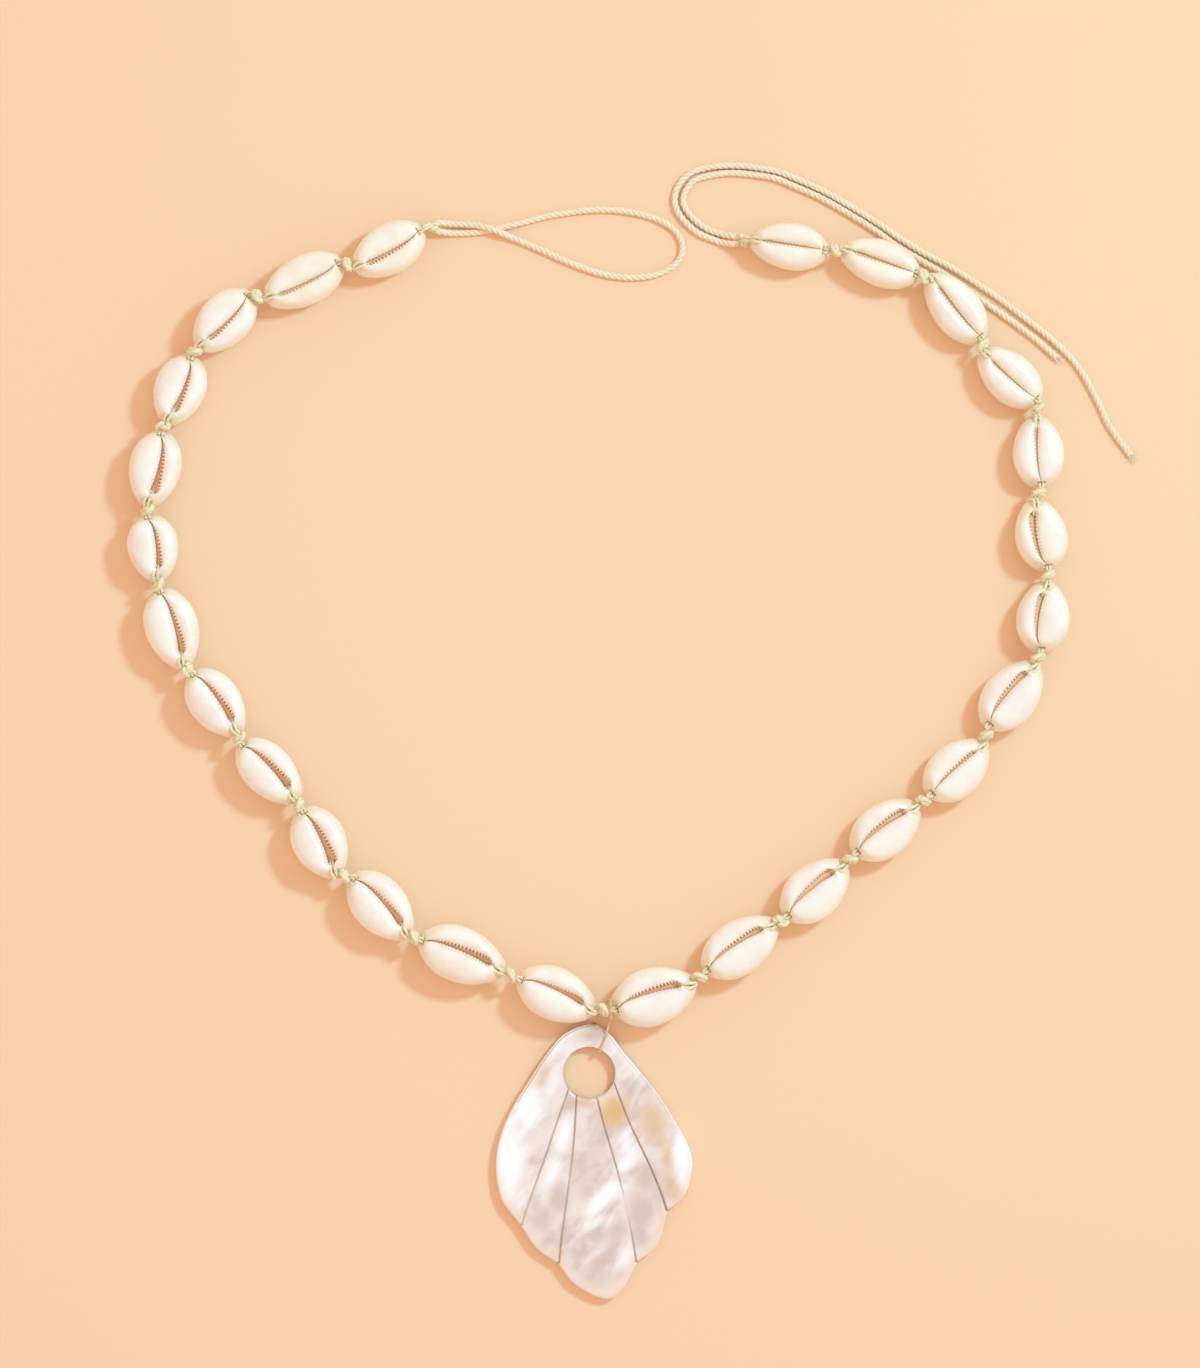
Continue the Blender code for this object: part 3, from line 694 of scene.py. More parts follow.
@dataclass(frozen=True)
class MatteCard(Finish):
    """Matte card under the necklace: a pale peach with a barely visible tooth.

    The tooth of such card is about 0.1 mm; it is drawn six times as coarse, so that it shows.
    """

    peach: str = "#F9D3AC"
    tooth: float = 0.6 * MM
    tooth_relief: float = 0.05
    tooth_depth: float = 0.02 * MM
    mirror: float = 0.1

    def dress(self, tree: bpy.types.NodeTree) -> Inputs:
        """Add the card's faint tooth.

        Args:
            tree: The material's node tree.

        Returns:
            What the shader's inputs get.
        """
        place = add_node(tree, "ShaderNodeTexCoord").outputs["Object"]
        grain = add_node(tree, "ShaderNodeTexNoise", {
            "Vector": place, "Scale": 1 / self.tooth, "Detail": 2.0,
        }).outputs["Fac"]
        bump = add_node(tree, "ShaderNodeBump", {
            "Height": grain, "Strength": self.tooth_relief, "Distance": self.tooth_depth,
        }).outputs["Normal"]
        return {"Base Color": linear(self.peach), "Specular IOR Level": self.mirror, "Normal": bump}


ENAMEL = CowrieEnamel("cowrie_enamel_polished", roughness=0.22, ior=1.53)
WHORL = InnerWhorl("cowrie_inside_painted_glow", roughness=0.55, ior=1.53)
CORD_COTTON = TwistedCotton("cotton_cord_twisted", roughness=0.85)
# The knots' and the thread's valley colours are painted shade too
KNOT_COTTON = TwistedCotton(
    "cotton_string_knotted", roughness=0.85, light="#FFF7D6", shade="#FFEFC2", valley="#FFE3AC",
    girth=2.0 * MM, glow=0.5,
)
THREAD_COTTON = TwistedCotton(
    "cotton_thread_mercerised", roughness=0.5, light="#FFE9BE", shade="#F3D098", valley="#DDB47A",
    fibre=0.06 * MM, fibre_run=0.8 * MM, girth=1.4 * MM, sheen=0.15,
)
NACRE = MotherOfPearl("mother_of_pearl_polished", roughness=0.24, ior=1.56)
CARD = MatteCard("card_matte", roughness=0.9)


# Form of a cowrie, as its solid has it
CANAL_HEIGHT = 5.6 * MM
RIM_RADIUS = 1.85 * MM
TIP_HALF_WIDTH = 1.6 * MM
RIM_FOOT = CANAL_HEIGHT - RIM_RADIUS
END_RAKE = 0.5
SLOT_GAPE = 1.3 * MM
# Width of the slot as a share of its largest, at shares of the way from the wide to the narrow end
SLOT_PROFILE = (
    (0.0, 0.10), (0.10, 0.18), (0.30, 0.40), (0.60, 0.70),
    (0.80, 0.98), (0.86, 0.80), (0.91, 0.15), (1.0, 0.10),
)
# Where along that way the teeth and the inner lip's fold rise, and where they fade
TEETH_RISE, TEETH_FADE = (0.10, 0.25), (0.84, 0.92)
FOLD_RISE, FOLD_FADE = (0.03, 0.09), (0.88, 0.92)
# Three points under a lip from the slot upwards: shares of the lip down and outward, and how much painted
# shade darkens them
UNDER_DOWN, UNDER_OUT, UNDER_PAINTED_SHADE = (1.0, 0.72, 0.36), (0.34, 0.10, 0.0), (0.9, 0.65, 0.3)
# Points of a half section: shares of its width from the lip towards the crest, then degrees from
# the crest to the widest line, and degrees from there to the foot
LIP_SHARES = (0.0, 0.02, 0.05, 0.09, 0.14, 0.20, 0.27, 0.34)
DOME_ANGLES = (17, 34, 50, 65, 78, 90)
BELLY_ANGLES = (20, 38, 55, 72)
# The same for the lining, which starts under the lip
LINING_SHARES = (0.0, 0.10, 0.2, 0.3, 0.4, 0.55, 0.75, 1.0)
HOLLOW_ANGLES = (22, 42, 60)
# Measures of a shell's sections by name, each as one column with a row for each section
Sections = dict[str, np.ndarray]


@dataclass
class CowrieShell:
    """One cowrie, aperture up, in the place of its solid.

    In its own frame +x runs from the wide end to the narrow one, +y to the inner side of the
    necklace and z up from the surface.
    """

    node: str
    gape: float
    bow: float
    inner_teeth: float = 0.5
    outer_teeth: float = 0.25
    cream: float = 0.0
    # Sections along the shell, and how evenly they are spread
    stations: int = 124
    even_stations: float = 0.7
    # Thickness of the wall in the middle and at the tips, and the hollow's lowest place
    wall: float = 1.0 * MM
    tip_wall: float = 0.86 * MM
    cavity_floor: float = 3.2 * MM
    # The string's canals: half width and half height at both ends, how far in the slot closes, how
    # much higher they lie than the solid's, and the angle that stays open
    wide_hole: tuple[float, float] = (0.72 * MM, 0.42 * MM)
    narrow_hole: tuple[float, float] = (0.30 * MM, 0.10 * MM)
    closed_tip: float = 1.6 * MM
    hole_lift: float = 0.12 * MM
    hole_gap: float = 0.06
    # Lips, the rounding of the ends, where the lining starts under the lip, and the fold there
    lip: float = 0.75 * MM
    lip_at_tip: float = 0.35
    end_round: float = 1.0 * MM
    round_share: float = 0.42
    lining_start: float = 0.5
    fold_depth: float = 0.28 * MM
    fold_deeper: float = 0.35
    fold_thickness: float = 0.45 * MM
    fold_overlap: float = 0.35 * MM
    fold_root: float = 0.55
    fold_foot: float = 0.8 * MM
    fold_droop: float = 0.1 * MM
    # Teeth: spacing, reach into the slot, height, how far up the lip they and the painted shade in the gaps
    # run, and as shares how far a gap draws back, how high a tooth rises and how deep a gap lies
    tooth_pitch: float = 0.85 * MM
    tooth_stagger: float = 0.45
    tooth_reach: float = 0.34 * MM
    tooth_bite: float = 0.42
    tooth_ridge: float = 0.18 * MM
    tooth_run: float = 0.17
    tooth_fade: float = 1.4
    gap_shade_run: float = 0.13
    gap_shade_fade: float = 0.7
    gap_back: float = 0.3
    tooth_up: float = 0.4
    gap_down: float = 0.6
    # Outline seen from above, and the powers that round its sections
    egg_skew: float = 0.13
    outline_power: float = 1.6
    crest_power: float = 0.55
    dome_power: float = 1.05
    margin_rise: float = 0.52
    rim_crest: float = 0.8
    crest_across: float = 0.42
    lip_rise: float = 0.70
    lip_curl: float = 3.0
    belly_power: float = 0.84
    foot_power: float = 0.7
    # Cream at the margin, partly the enamel's own and partly painted warm bounce light from the card, at the
    # lip and towards the tips, and where it starts
    margin_cream_and_bounce: float = 0.55
    margin_bounce_start: float = 0.72
    lip_cream: float = 0.4
    lip_cream_run: float = 0.10
    tip_cream_start: float = 0.72

    def __post_init__(self) -> None:
        """Measure the solid: its length, width, height and the frame it lies in."""
        corners = np.array([vertex.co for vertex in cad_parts[self.node].data.vertices])
        corners = np.unique(np.round(corners, 6), axis=0)
        flat = corners[:, :2]
        centre = flat.mean(axis=0)
        heading = np.linalg.eigh(np.cov((flat - centre).T))[1][:, -1]
        for _ in range(3):
            reach = (flat - centre) @ heading
            low = flat[reach < reach.min() + 0.1 * MM].mean(axis=0)
            high = flat[reach > reach.max() - 0.1 * MM].mean(axis=0)
            centre = (low + high) / 2
            heading = unit(high - low)
        self.length = float(np.linalg.norm(high - low))
        side = np.array([-heading[1], heading[0]])
        along, across = (flat - centre) @ heading, np.abs((flat - centre) @ side)
        flank = (np.abs(along) > 0.3 * self.length) & (np.abs(along) < 0.4 * self.length)
        if across[flank & (along > 0)].max() > across[flank & (along < 0)].max():
            heading = -heading
        self.width = 2 * float(across.max())
        self.height = float(corners[:, 2].max())
        turn = Matrix.Rotation(math.atan2(heading[1], heading[0]), 4, "Z")
        self.place = Matrix.Translation((*centre, 0.0)) @ turn
        self.heading = np.array([heading[0], heading[1], 0.0])

    def world(self, points: np.ndarray) -> np.ndarray:
        """Points of the shell's frame in the necklace's."""
        matrix = np.array(self.place)
        return np.asarray(points, float) @ matrix[:3, :3].T + matrix[:3, 3]

    def measures(self, along: np.ndarray) -> Sections:
        """Measure the sections at places along the shell.

        Args:
            along: Places along the shell, from its middle.

        Returns:
            The measures.
        """
        along = np.asarray(along, float).reshape(-1, 1)
        half_length, half = self.length / 2, self.width / 2
        angle = np.arccos(np.clip(-along / half_length, -1.0, 1.0))
        swell = np.sin(angle)
        outline = swell ** self.outline_power * (1 + self.egg_skew * np.cos(angle))
        share = (along / half_length + 1) / 2
        profile = smooth_curve(np.array(SLOT_PROFILE), 8)
        margin = mix(CANAL_HEIGHT, self.margin_rise * self.height, swell)
        crest = mix(CANAL_HEIGHT + self.rim_crest * RIM_RADIUS, self.height, swell ** self.crest_power)
        foot = RIM_FOOT * (1 - swell ** self.dome_power)
        wall = mix(self.tip_wall, self.wall, swell)
        return {
            "along": along,
            "swell": swell,
            "share": share,
            "half_width": mix(TIP_HALF_WIDTH, half, outline / (1 + self.egg_skew ** 2 / 4)),
            "margin": margin,
            "crest": crest,
            "edge_up": mix(margin, crest, self.lip_rise),
            "foot": foot,
            "wall": wall,
            "hollow": np.minimum(np.maximum(foot + wall, self.cavity_floor), margin - 0.1 * MM),
            "lip": self.lip * mix(self.lip_at_tip, 1.0, swell),
            "slot": self.gape * SLOT_GAPE * np.interp(share, profile[:, 0], profile[:, 1]),
            "middle": self.bow * 2 * half * swell,
            "toothed": smooth_step(share, *TEETH_RISE) * (1 - smooth_step(share, *TEETH_FADE)),
            "folded": smooth_step(share, *FOLD_RISE) * (1 - smooth_step(share, *FOLD_FADE)),
        }

    def lip_height(self, along: float) -> float:
        """Height of the lips' edges at a place along the shell."""
        return float(self.measures(np.array([along]))["edge_up"][0, 0])

    def skin(self, at: Sections, side: int) -> dict[str, np.ndarray]:
        """Draw the outside of one half: the rolled lip, the dome and the belly.

        Args:
            at: Measures of the sections.
            side: 1 for the inner half, -1 for the outer one.

        Returns:
            Points (across, up) from the lip's lower edge to the belly, and the values for the shader.
        """
        strength = self.inner_teeth if side > 0 else self.outer_teeth
        phase = 0.0 if side > 0 else self.tooth_stagger * self.tooth_pitch
        wave = (1 + np.cos(math.tau * (at["along"] + phase) / self.tooth_pitch)) / 2
        tooth = strength * at["toothed"] * wave
        gap = strength * at["toothed"] * (1 - wave)
        reach = (tooth - self.gap_back * gap) * np.minimum(self.tooth_reach, self.tooth_bite * at["slot"])
        edge = at["middle"] + side * at["slot"] / 2

        lip_part = np.array([*LIP_SHARES, self.crest_across])
        dome_part = np.sin(np.radians(DOME_ANGLES))
        across = np.concatenate([lip_part, mix(self.crest_across, 1.0, dome_part)])
        curl = (1 - self.lip_rise) * (1 - lip_part / self.crest_across) ** self.lip_curl
        rise = np.concatenate([1 - curl, np.sqrt(1 - dome_part ** 2)])
        near = np.clip(1 - across / self.tooth_run, 0, 1) ** self.tooth_fade
        ridge = (self.tooth_up * tooth - self.gap_down * gap) * self.tooth_ridge
        dome_across = mix(edge, side * at["half_width"], across) - side * reach * near
        dome_up = mix(at["margin"], at["crest"], rise) + ridge * near

        lip_across = edge + side * (np.array(UNDER_OUT) * at["lip"] - reach)
        lip_up = dome_up[:, :1] - np.array(UNDER_DOWN) * at["lip"]
        belly = np.radians(BELLY_ANGLES)
        belly_across = side * at["half_width"] * np.cos(belly) ** self.belly_power
        belly_up = mix(at["margin"], at["foot"], np.sin(belly) ** self.foot_power)

        share_across = np.concatenate([np.zeros(len(UNDER_OUT)), across, np.ones(len(belly))])
        # Painted shade under the lip, darkest towards the slot
        under_lip_shade = np.concatenate([UNDER_PAINTED_SHADE, np.zeros(len(across) + len(belly))])
        tips = smooth_step(np.abs(2 * at["share"] - 1), self.tip_cream_start, 1.0)
        # Cream at the margin: partly the enamel's own, partly painted warm bounce light from the card
        edges = self.margin_cream_and_bounce * smooth_step(share_across, self.margin_bounce_start, 1.0)
        edges = edges + self.lip_cream * smooth_step(-share_across, -self.lip_cream_run, 0.0)
        # Painted shade in the gaps between the teeth, fading up the lip
        brown = gap * np.clip(1 - share_across / self.gap_shade_run, 0, 1) ** self.gap_shade_fade
        return {
            "points": np.stack([
                np.concatenate([lip_across, dome_across, belly_across], axis=1),
                np.concatenate([lip_up, dome_up, belly_up], axis=1),
            ], axis=-1),
            "rim": np.clip(edges + tips + self.cream, 0, 1),
            "groove": np.clip(brown + under_lip_shade, 0, 1),
        }

    def lining(self, at: Sections, side: int) -> np.ndarray:
        """Draw the inside of one half, from the lip's lower edge to the belly.

        Args:
            at: Measures of the sections.
            side: 1 for the inner half, which has a fold under its lip, -1 for the outer one.

        Returns:
            Points (across, up) as a row for each section.
        """
        edge = at["middle"] + side * at["slot"] / 2
        inside = at["half_width"] - at["wall"]
        way = np.array(LINING_SHARES)
        across = mix(edge + side * self.lining_start * at["lip"], side * inside, way)
        up = mix(at["edge_up"] - at["lip"], at["margin"], way)
        if side > 0:
            top = at["edge_up"] - self.fold_depth - self.fold_deeper * at["slot"]
            tip = at["middle"] - at["slot"] / 2 - self.fold_overlap
            low = top - self.fold_thickness
            root, foot = edge + self.fold_root * at["lip"], edge + self.fold_foot
            droop = self.fold_droop
            fold_across = np.concatenate([root, at["middle"], tip, tip, at["middle"], foot], axis=1)
            fold_up = np.concatenate([top + droop / 2, top, top - droop, low, low, low - droop], axis=1)
            across[:, 1:7] = mix(across[:, 1:7], fold_across, at["folded"])
            up[:, 1:7] = mix(up[:, 1:7], fold_up, at["folded"])
        belly = np.radians(HOLLOW_ANGLES)
        belly_across = side * inside * np.cos(belly) ** self.belly_power
        belly_up = mix(at["margin"], at["hollow"], np.sin(belly) ** self.foot_power)
        return np.stack([
            np.concatenate([across, belly_across], axis=1),
            np.concatenate([up, belly_up], axis=1),
        ], axis=-1)

    def canals(self, at: Sections, lining: np.ndarray) -> np.ndarray:
        """Narrow the hollow to the string's canals at both ends.

        Args:
            at: Measures of the sections.
            lining: Points (across, up) of the whole inside, as a row for each section.

        Returns:
            The same points with the canals.
        """
        # The ring isn't quite closed, because the slot stays a hair open at the tips
        turn = np.linspace(self.hole_gap, math.tau - self.hole_gap, lining.shape[1])
        ring = np.stack([np.sin(turn), np.cos(turn)], axis=-1)
        for end, hole in ((-1, self.wide_hole), (1, self.narrow_hole)):
            tube = ring * hole + (0.0, CANAL_HEIGHT + self.hole_lift)
            from_end = self.length / 2 - end * at["along"]
            closed = 1 - smooth_step(from_end, 0.3 * self.closed_tip, self.closed_tip)
            lining = mix(lining, tube[None], closed[..., None])
        return lining

    def stand(self, at: Sections, flat: np.ndarray) -> np.ndarray:
        """Put the sections into the necklace's frame, with the ends raked back.

        Args:
            at: Measures of the sections.
            flat: Points (across, up) as a row for each section.

        Returns:
            The points in the necklace's frame.
        """
        rake = END_RAKE * np.maximum(0.0, flat[..., 1] - RIM_FOOT) * (1 - at["swell"] ** 2)
        along = at["along"] - np.sign(at["along"]) * rake
        return self.world(np.stack([along, flat[..., 0], flat[..., 1]], axis=-1))

    def build(self) -> bpy.types.Object:
        """Build the shell from its sections, put it over its solid and name what it replaces.

        Returns:
            The shell.
        """
        half_length = self.length / 2
        share = np.linspace(0.0, 1.0, self.stations)
        crowded = -np.cos(math.pi * share)
        at = self.measures(half_length * mix(crowded, 2 * share - 1, self.even_stations))
        on_axis = np.zeros_like(at["foot"])
        levels = (at["foot"], at["hollow"], (at["margin"] + at["foot"]) / 2)
        foot, floor, middle = (np.stack([on_axis, level], axis=-1) for level in levels)
        inner, outer = self.skin(at, 1), self.skin(at, -1)
        skin = np.concatenate([inner["points"], foot, outer["points"][:, ::-1]], axis=1)
        lining = np.concatenate([self.lining(at, 1), floor, self.lining(at, -1)[:, ::-1]], axis=1)
        lining = self.canals(at, lining)

        # Both skins draw together at the ends, so that the rims come out round
        ahead = np.clip((half_length - np.abs(at["along"])) / self.end_round, 0, 1)
        round_off = 1 - np.sqrt(np.clip(1 - (1 - ahead) ** 2, 0.0, 1.0))
        shrink = (self.round_share * at["wall"] * round_off)[..., None]
        skin = skin - shrink * unit(skin - middle)
        lining = lining + shrink * unit(lining - middle)

        keel = np.ones((self.stations, 1))
        rim = np.concatenate([inner["rim"], keel, outer["rim"][:, ::-1]], axis=1)
        groove = np.concatenate([inner["groove"], 0 * keel, outer["groove"][:, ::-1]], axis=1)
        blank = np.zeros(lining.shape[:2])
        draft = MeshDraft()
        outside = draft.add_points(self.stand(at, skin), rim=rim, groove=groove)
        inside = draft.add_points(self.stand(at, lining), rim=blank, groove=blank)
        draft.add_quads(outside.T)
        # The lining, and the lips' lower edges, which take its painted warm glow
        draft.add_quads(inside[:, ::-1].T, slot=1)
        draft.add_quads(np.stack([outside[:, 0], inside[:, 0]], axis=1), slot=1)
        draft.add_quads(np.stack([outside[:, -1], inside[:, -1]]), slot=1)
        draft.bridge(outside[0], inside[0])
        draft.bridge(inside[-1], outside[-1])
        piece = draft.build(f"{self.node}_shell", [ENAMEL.material(), WHORL.material()])
        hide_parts(self.node)
        return piece


def arm(side: str, rows: tuple[tuple[float, ...], ...]) -> tuple[CowrieShell, ...]:
    """Name the shells of one arm of the necklace, from the pendant outwards.

    Args:
        side: Left or right.
        rows: For each shell its gape as a share of the usual one, the bow of its slot towards the
            inner side as a share of its width, the strength of its teeth on the inner and the
            outer lip, and how much more cream a yellower shell has.

    Returns:
        The shells.
    """
    return tuple(CowrieShell(f"cowrie_{side}_{number:02d}", *row) for number, row in enumerate(rows, 1))


LEFT_SHELLS = arm("left", (
    (0.97, 0.12, 0.5, 0.14, 0.35), (1.13, 0.12, 1, 0.27, 0.35), (1.13, 0.12, 0.6, 0.14),
    (1.45, 0.10, 0.9, 0.18), (1.29, 0.13, 0.9, 0.18), (1.13, 0.12, 0.9, 0.18),
    (1.13, 0.11, 0.9, 0.18), (0.97, 0.12, 0.9, 0.18), (1.29, 0.13, 1, 0.18),
    (1.05, 0.12, 0.9, 0.23), (0.73, 0.10, 0.8, 0.18), (0.57, 0.09, 0.6, 0.14, 0.7),
    (0.73, 0.09, 1, 0.23, 0.7),
))
RIGHT_SHELLS = arm("right", (
    (1.13, 0.12, 1, 0.18), (0.97, 0.12, 0.9, 0.14), (1.29, 0.12, 0.5, 0.09),
    (1.13, 0.12, 0.8, 0.14, 0.35), (0.50, 0.07, 0.8, 0.27, 0.4), (0.97, 0.13, 0.8, 0.14),
    (0.97, 0.14, 0.4, 0.09, 0.4), (1.13, 0.15, 0.6, 0.36, 0.55), (0.50, 0.06, 0.4, 0.14),
    (0.35, 0.04, 0.3, 0.14, 0.5), (0.50, 0.04, 0.6, 0.18, 0.4), (0.50, -0.01, 0.5, 0.27, 0.75),
    (0.35, -0.01, 0.5, 0.32, 0.5),
))


# The string, its knots and where they lie between the shells
KNOT_HEIGHT = CANAL_HEIGHT + 0.3 * MM
KNOT_WIDTH = 2.7 * MM
KNOT_LENGTH = 2.2 * MM
KNOT_CLEARANCE = 0.35 * MM
END_KNOT_HEIGHT = 2.2 * MM
# The way from an outer tip down to the end knot: shares of the way out and of the height left
END_BEND = ((0.2, 1.02), (0.75, 0.86), (1.0, 0.58))


@dataclass
class ShellString:
    """The doubled string through the shells, and an overhand knot in each gap and at each end."""

    shells: tuple[CowrieShell, ...]
    # The two plies: thickness, length of one twist, spacing of the sections, and how far each lies
    # from the string's middle line inside a shell and inside a knot
    ply: float = 0.72 * MM
    pitch: float = 2.0 * MM
    spacing: float = 0.25 * MM
    aside: float = 0.32 * MM
    knot_aside: float = 0.28 * MM
    inside_level: float = 4.6 * MM
    # The knots' strand: thickness, turns, and how deep its turns and the core lie in the knot, as
    # shares of that thickness
    knot_strand: float = 1.15 * MM
    knot_spacing: float = 0.2 * MM
    knot_turns: float = 1.7
    turn_depth: float = 0.36
    core_depth: float = 0.4
    core_length: float = 0.7
    core_pitch: float = 6.0 * MM
    coil_sway: float = 0.06
    back_start: float = 0.4
    back_lift: float = 0.45
    back_power: float = 0.7
    # What differs from knot to knot: tilt in millimetres, and turns in radians
    tilt: tuple[float, float] = (0.25, 0.5)
    start_turn: float = 0.8
    tilt_turn: float = 0.6
    back_turn: tuple[float, float] = (1.2, 2.0)

    def mouth(self, shell: CowrieShell, end: int) -> np.ndarray:
        """Where the string passes a shell's wide end (-1) or narrow end (1)."""
        return shell.world([end * (shell.length / 2 - END_RAKE * RIM_RADIUS), 0.0, CANAL_HEIGHT])

    def way_in(self, shell: CowrieShell, side: int) -> np.ndarray:
        """Lead one ply from the wide end's canal to the middle of a shell.

        Args:
            shell: The shell that it enters.
            side: 1 or -1, the side of the string's middle line on which the ply lies.

        Returns:
            Points of the ply's middle line.
        """
        half = shell.length / 2
        aside = side * self.aside
        bow = shell.bow * shell.width
        return shell.world([
            (-half + 0.3 * MM, aside, CANAL_HEIGHT + 0.15 * MM),
            (-half + 1.4 * MM, aside, CANAL_HEIGHT - 0.05 * MM),
            (-half + 3.4 * MM, aside + 0.4 * bow, mix(self.inside_level, CANAL_HEIGHT, 0.3)),
            (-half * 0.35, aside + 0.9 * bow, self.inside_level),
            (0.0, aside + bow, self.inside_level),
        ])

    def way_out(self, shell: CowrieShell, side: int) -> np.ndarray:
        """Lead one ply from a shell's middle up through the slot and over the narrow end's lips.

        Args:
            shell: The shell that it leaves.
            side: 1 or -1, the side of the string's middle line on which the ply lies.

        Returns:
            Points of the ply's middle line.
        """
        half = shell.length / 2
        bow = shell.bow * shell.width
        aside = side * self.aside
        lips = [shell.lip_height(half - back * MM) for back in (2.6, 1.7)]
        return shell.world([
            (0.0, aside + bow, self.inside_level),
            (half - 5.0 * MM, aside + 0.7 * bow, self.inside_level),
            (half - 3.9 * MM, aside + 0.55 * bow, self.inside_level + 0.8 * MM),
            (half - 3.2 * MM, aside + 0.45 * bow, lips[0] - 0.55 * MM),
            (half - 2.5 * MM, aside * 1.35 + 0.3 * bow, lips[0] + 0.22 * MM),
            (half - 1.6 * MM, aside * 1.55 + 0.1 * bow, lips[1] + 0.30 * MM),
            (half - 0.8 * MM, aside * 1.3, KNOT_HEIGHT + 0.85 * MM),
            (half - 0.1 * MM, aside, KNOT_HEIGHT + 0.3 * MM),
        ])

    def end_bend(self, shell: CowrieShell, outward: int) -> tuple[np.ndarray, np.ndarray]:
        """Lead the string from the necklace's last tip down to the end knot.

        Args:
            shell: The first or the last shell.
            outward: 1 at the shell's narrow end, -1 at its wide end.

        Returns:
            Points of the way down, and the knot's place.
        """
        tip = shell.length / 2
        reach = tip + KNOT_WIDTH / 2 + KNOT_CLEARANCE
        bend = [
            (outward * mix(tip, reach, along), 0.0, mix(END_KNOT_HEIGHT, CANAL_HEIGHT, up))
            for along, up in END_BEND
        ]
        return shell.world(bend), shell.world([outward * reach, 0.0, END_KNOT_HEIGHT])

    def knots(self) -> list[tuple[np.ndarray, np.ndarray]]:
        """Find the knots' places from the loop's end to the ties' end.

        Returns:
            The place and the direction of every knot.
        """
        places = [(self.end_bend(self.shells[0], -1)[1], self.shells[0].heading)]
        for shell, following in zip(self.shells, self.shells[1:]):
            start, end = self.mouth(shell, 1), self.mouth(following, -1)
            middle = (start + end) / 2
            middle[2] = KNOT_HEIGHT
            places.append((middle, end - start))
        places.append((self.end_bend(self.shells[-1], 1)[1], self.shells[-1].heading))
        return [(place, unit(direction)) for place, direction in places]

    def knot_path(self, place: np.ndarray, direction: np.ndarray, seed: int) -> np.ndarray:
        """Lead the strand of one overhand knot: tilted turns, then a strand back across them.

        Args:
            place: Middle of the knot.
            direction: Direction in which the string passes it.
            seed: Number that makes this knot a little different from the others.

        Returns:
            Points of the strand's middle line.
        """
        chance = random.Random(seed)
        side = unit(np.cross(direction, (0.0, 0.0, 1.0)))
        up = np.cross(side, direction)
        coil = KNOT_WIDTH / 2 - self.knot_strand * self.turn_depth
        run = KNOT_LENGTH - self.knot_strand
        tilt = chance.uniform(*self.tilt) * MM
        phase = math.pi / 2 - math.pi * self.knot_turns + chance.uniform(-self.start_turn, self.start_turn)
        share = np.linspace(0.0, 1.0, 60)
        angle = phase + math.tau * self.knot_turns * share
        along = (share - 0.5) * run + tilt * np.cos(angle + chance.uniform(-self.tilt_turn, self.tilt_turn))
        radius = coil * (1 + self.coil_sway * np.sin(3 * angle + phase))
        back = np.linspace(0.0, 1.0, 18)[1:]
        back_angle = angle[-1] + mix(self.back_start, chance.uniform(*self.back_turn), back)
        back_along = mix(along[-1], along[0], back)
        back_radius = coil + self.knot_strand * self.back_lift * np.sin(math.pi * back) ** self.back_power
        angle = np.concatenate([angle, back_angle])
        along = np.concatenate([along, back_along])
        radius = np.concatenate([radius, back_radius])
        return (
            place
            + along[:, None] * direction
            + (radius * np.cos(angle))[:, None] * side
            + (radius * np.sin(angle))[:, None] * up
        )

    def route(self, index: int, place: np.ndarray, direction: np.ndarray, side: int) -> np.ndarray:
        """Lead one ply through one knot, from the middle of the shell before to that of the next.

        Args:
            index: The knot's number.
            place: The knot's place.
            direction: Direction in which the string passes it.
            side: 1 or -1, the side of the string's middle line on which the ply lies.

        Returns:
            Points of the ply's middle line.
        """
        shift = unit(np.cross(direction, (0.0, 0.0, 1.0))) * side * self.knot_aside
        route = [place + shift]
        if index == len(self.shells):
            route = [*(self.end_bend(self.shells[-1], 1)[0] + shift), *route]
        if index > 0:
            route = [*self.way_out(self.shells[index - 1], side), *route]
        if index == 0:
            route = [*route, *(self.end_bend(self.shells[0], -1)[0][::-1] + shift)]
        if index < len(self.shells):
            route = [*route, *self.way_in(self.shells[index], side)]
        return np.array(route)

    def build(self) -> list[bpy.types.Object]:
        """Build the plies and the knots.

        Returns:
            The string and its knots.
        """
        knots = self.knots()
        plies, tied = MeshDraft(), MeshDraft()
        for side in (-1, 1):
            for index, (place, direction) in enumerate(knots):
                route = self.route(index, place, direction, side)
                path = evenly_spaced(smooth_curve(route, 10), self.spacing)
                add_cord(plies, path, self.ply / 2, Lay.YARN, self.pitch, turn=index + side)
        for index, (place, direction) in enumerate(knots):
            path = evenly_spaced(self.knot_path(place, direction, index), self.knot_spacing)
            path[:, 2] = np.maximum(path[:, 2], self.knot_strand / 2)
            add_cord(tied, path, self.knot_strand / 2, Lay.YARN, self.pitch, turn=index)
            core = place + np.linspace(-0.5, 0.5, 7)[:, None] * KNOT_LENGTH * self.core_length * direction
            core_radius = KNOT_WIDTH / 2 - self.knot_strand * self.core_depth
            add_cord(tied, core, core_radius, Lay.YARN, self.core_pitch)
        string = plies.build("shell_string", [KNOT_COTTON.material()])
        knotted = tied.build("shell_string_knots", [KNOT_COTTON.material()])
        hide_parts("stringing_cord")
        return [string, knotted]


# The free cords' routes from their end knot, as their solids have them: two in millimetres, then
# how far the cord is lifted off the surface, in its own diameters
CORD_DIAMETER = 1.2 * MM
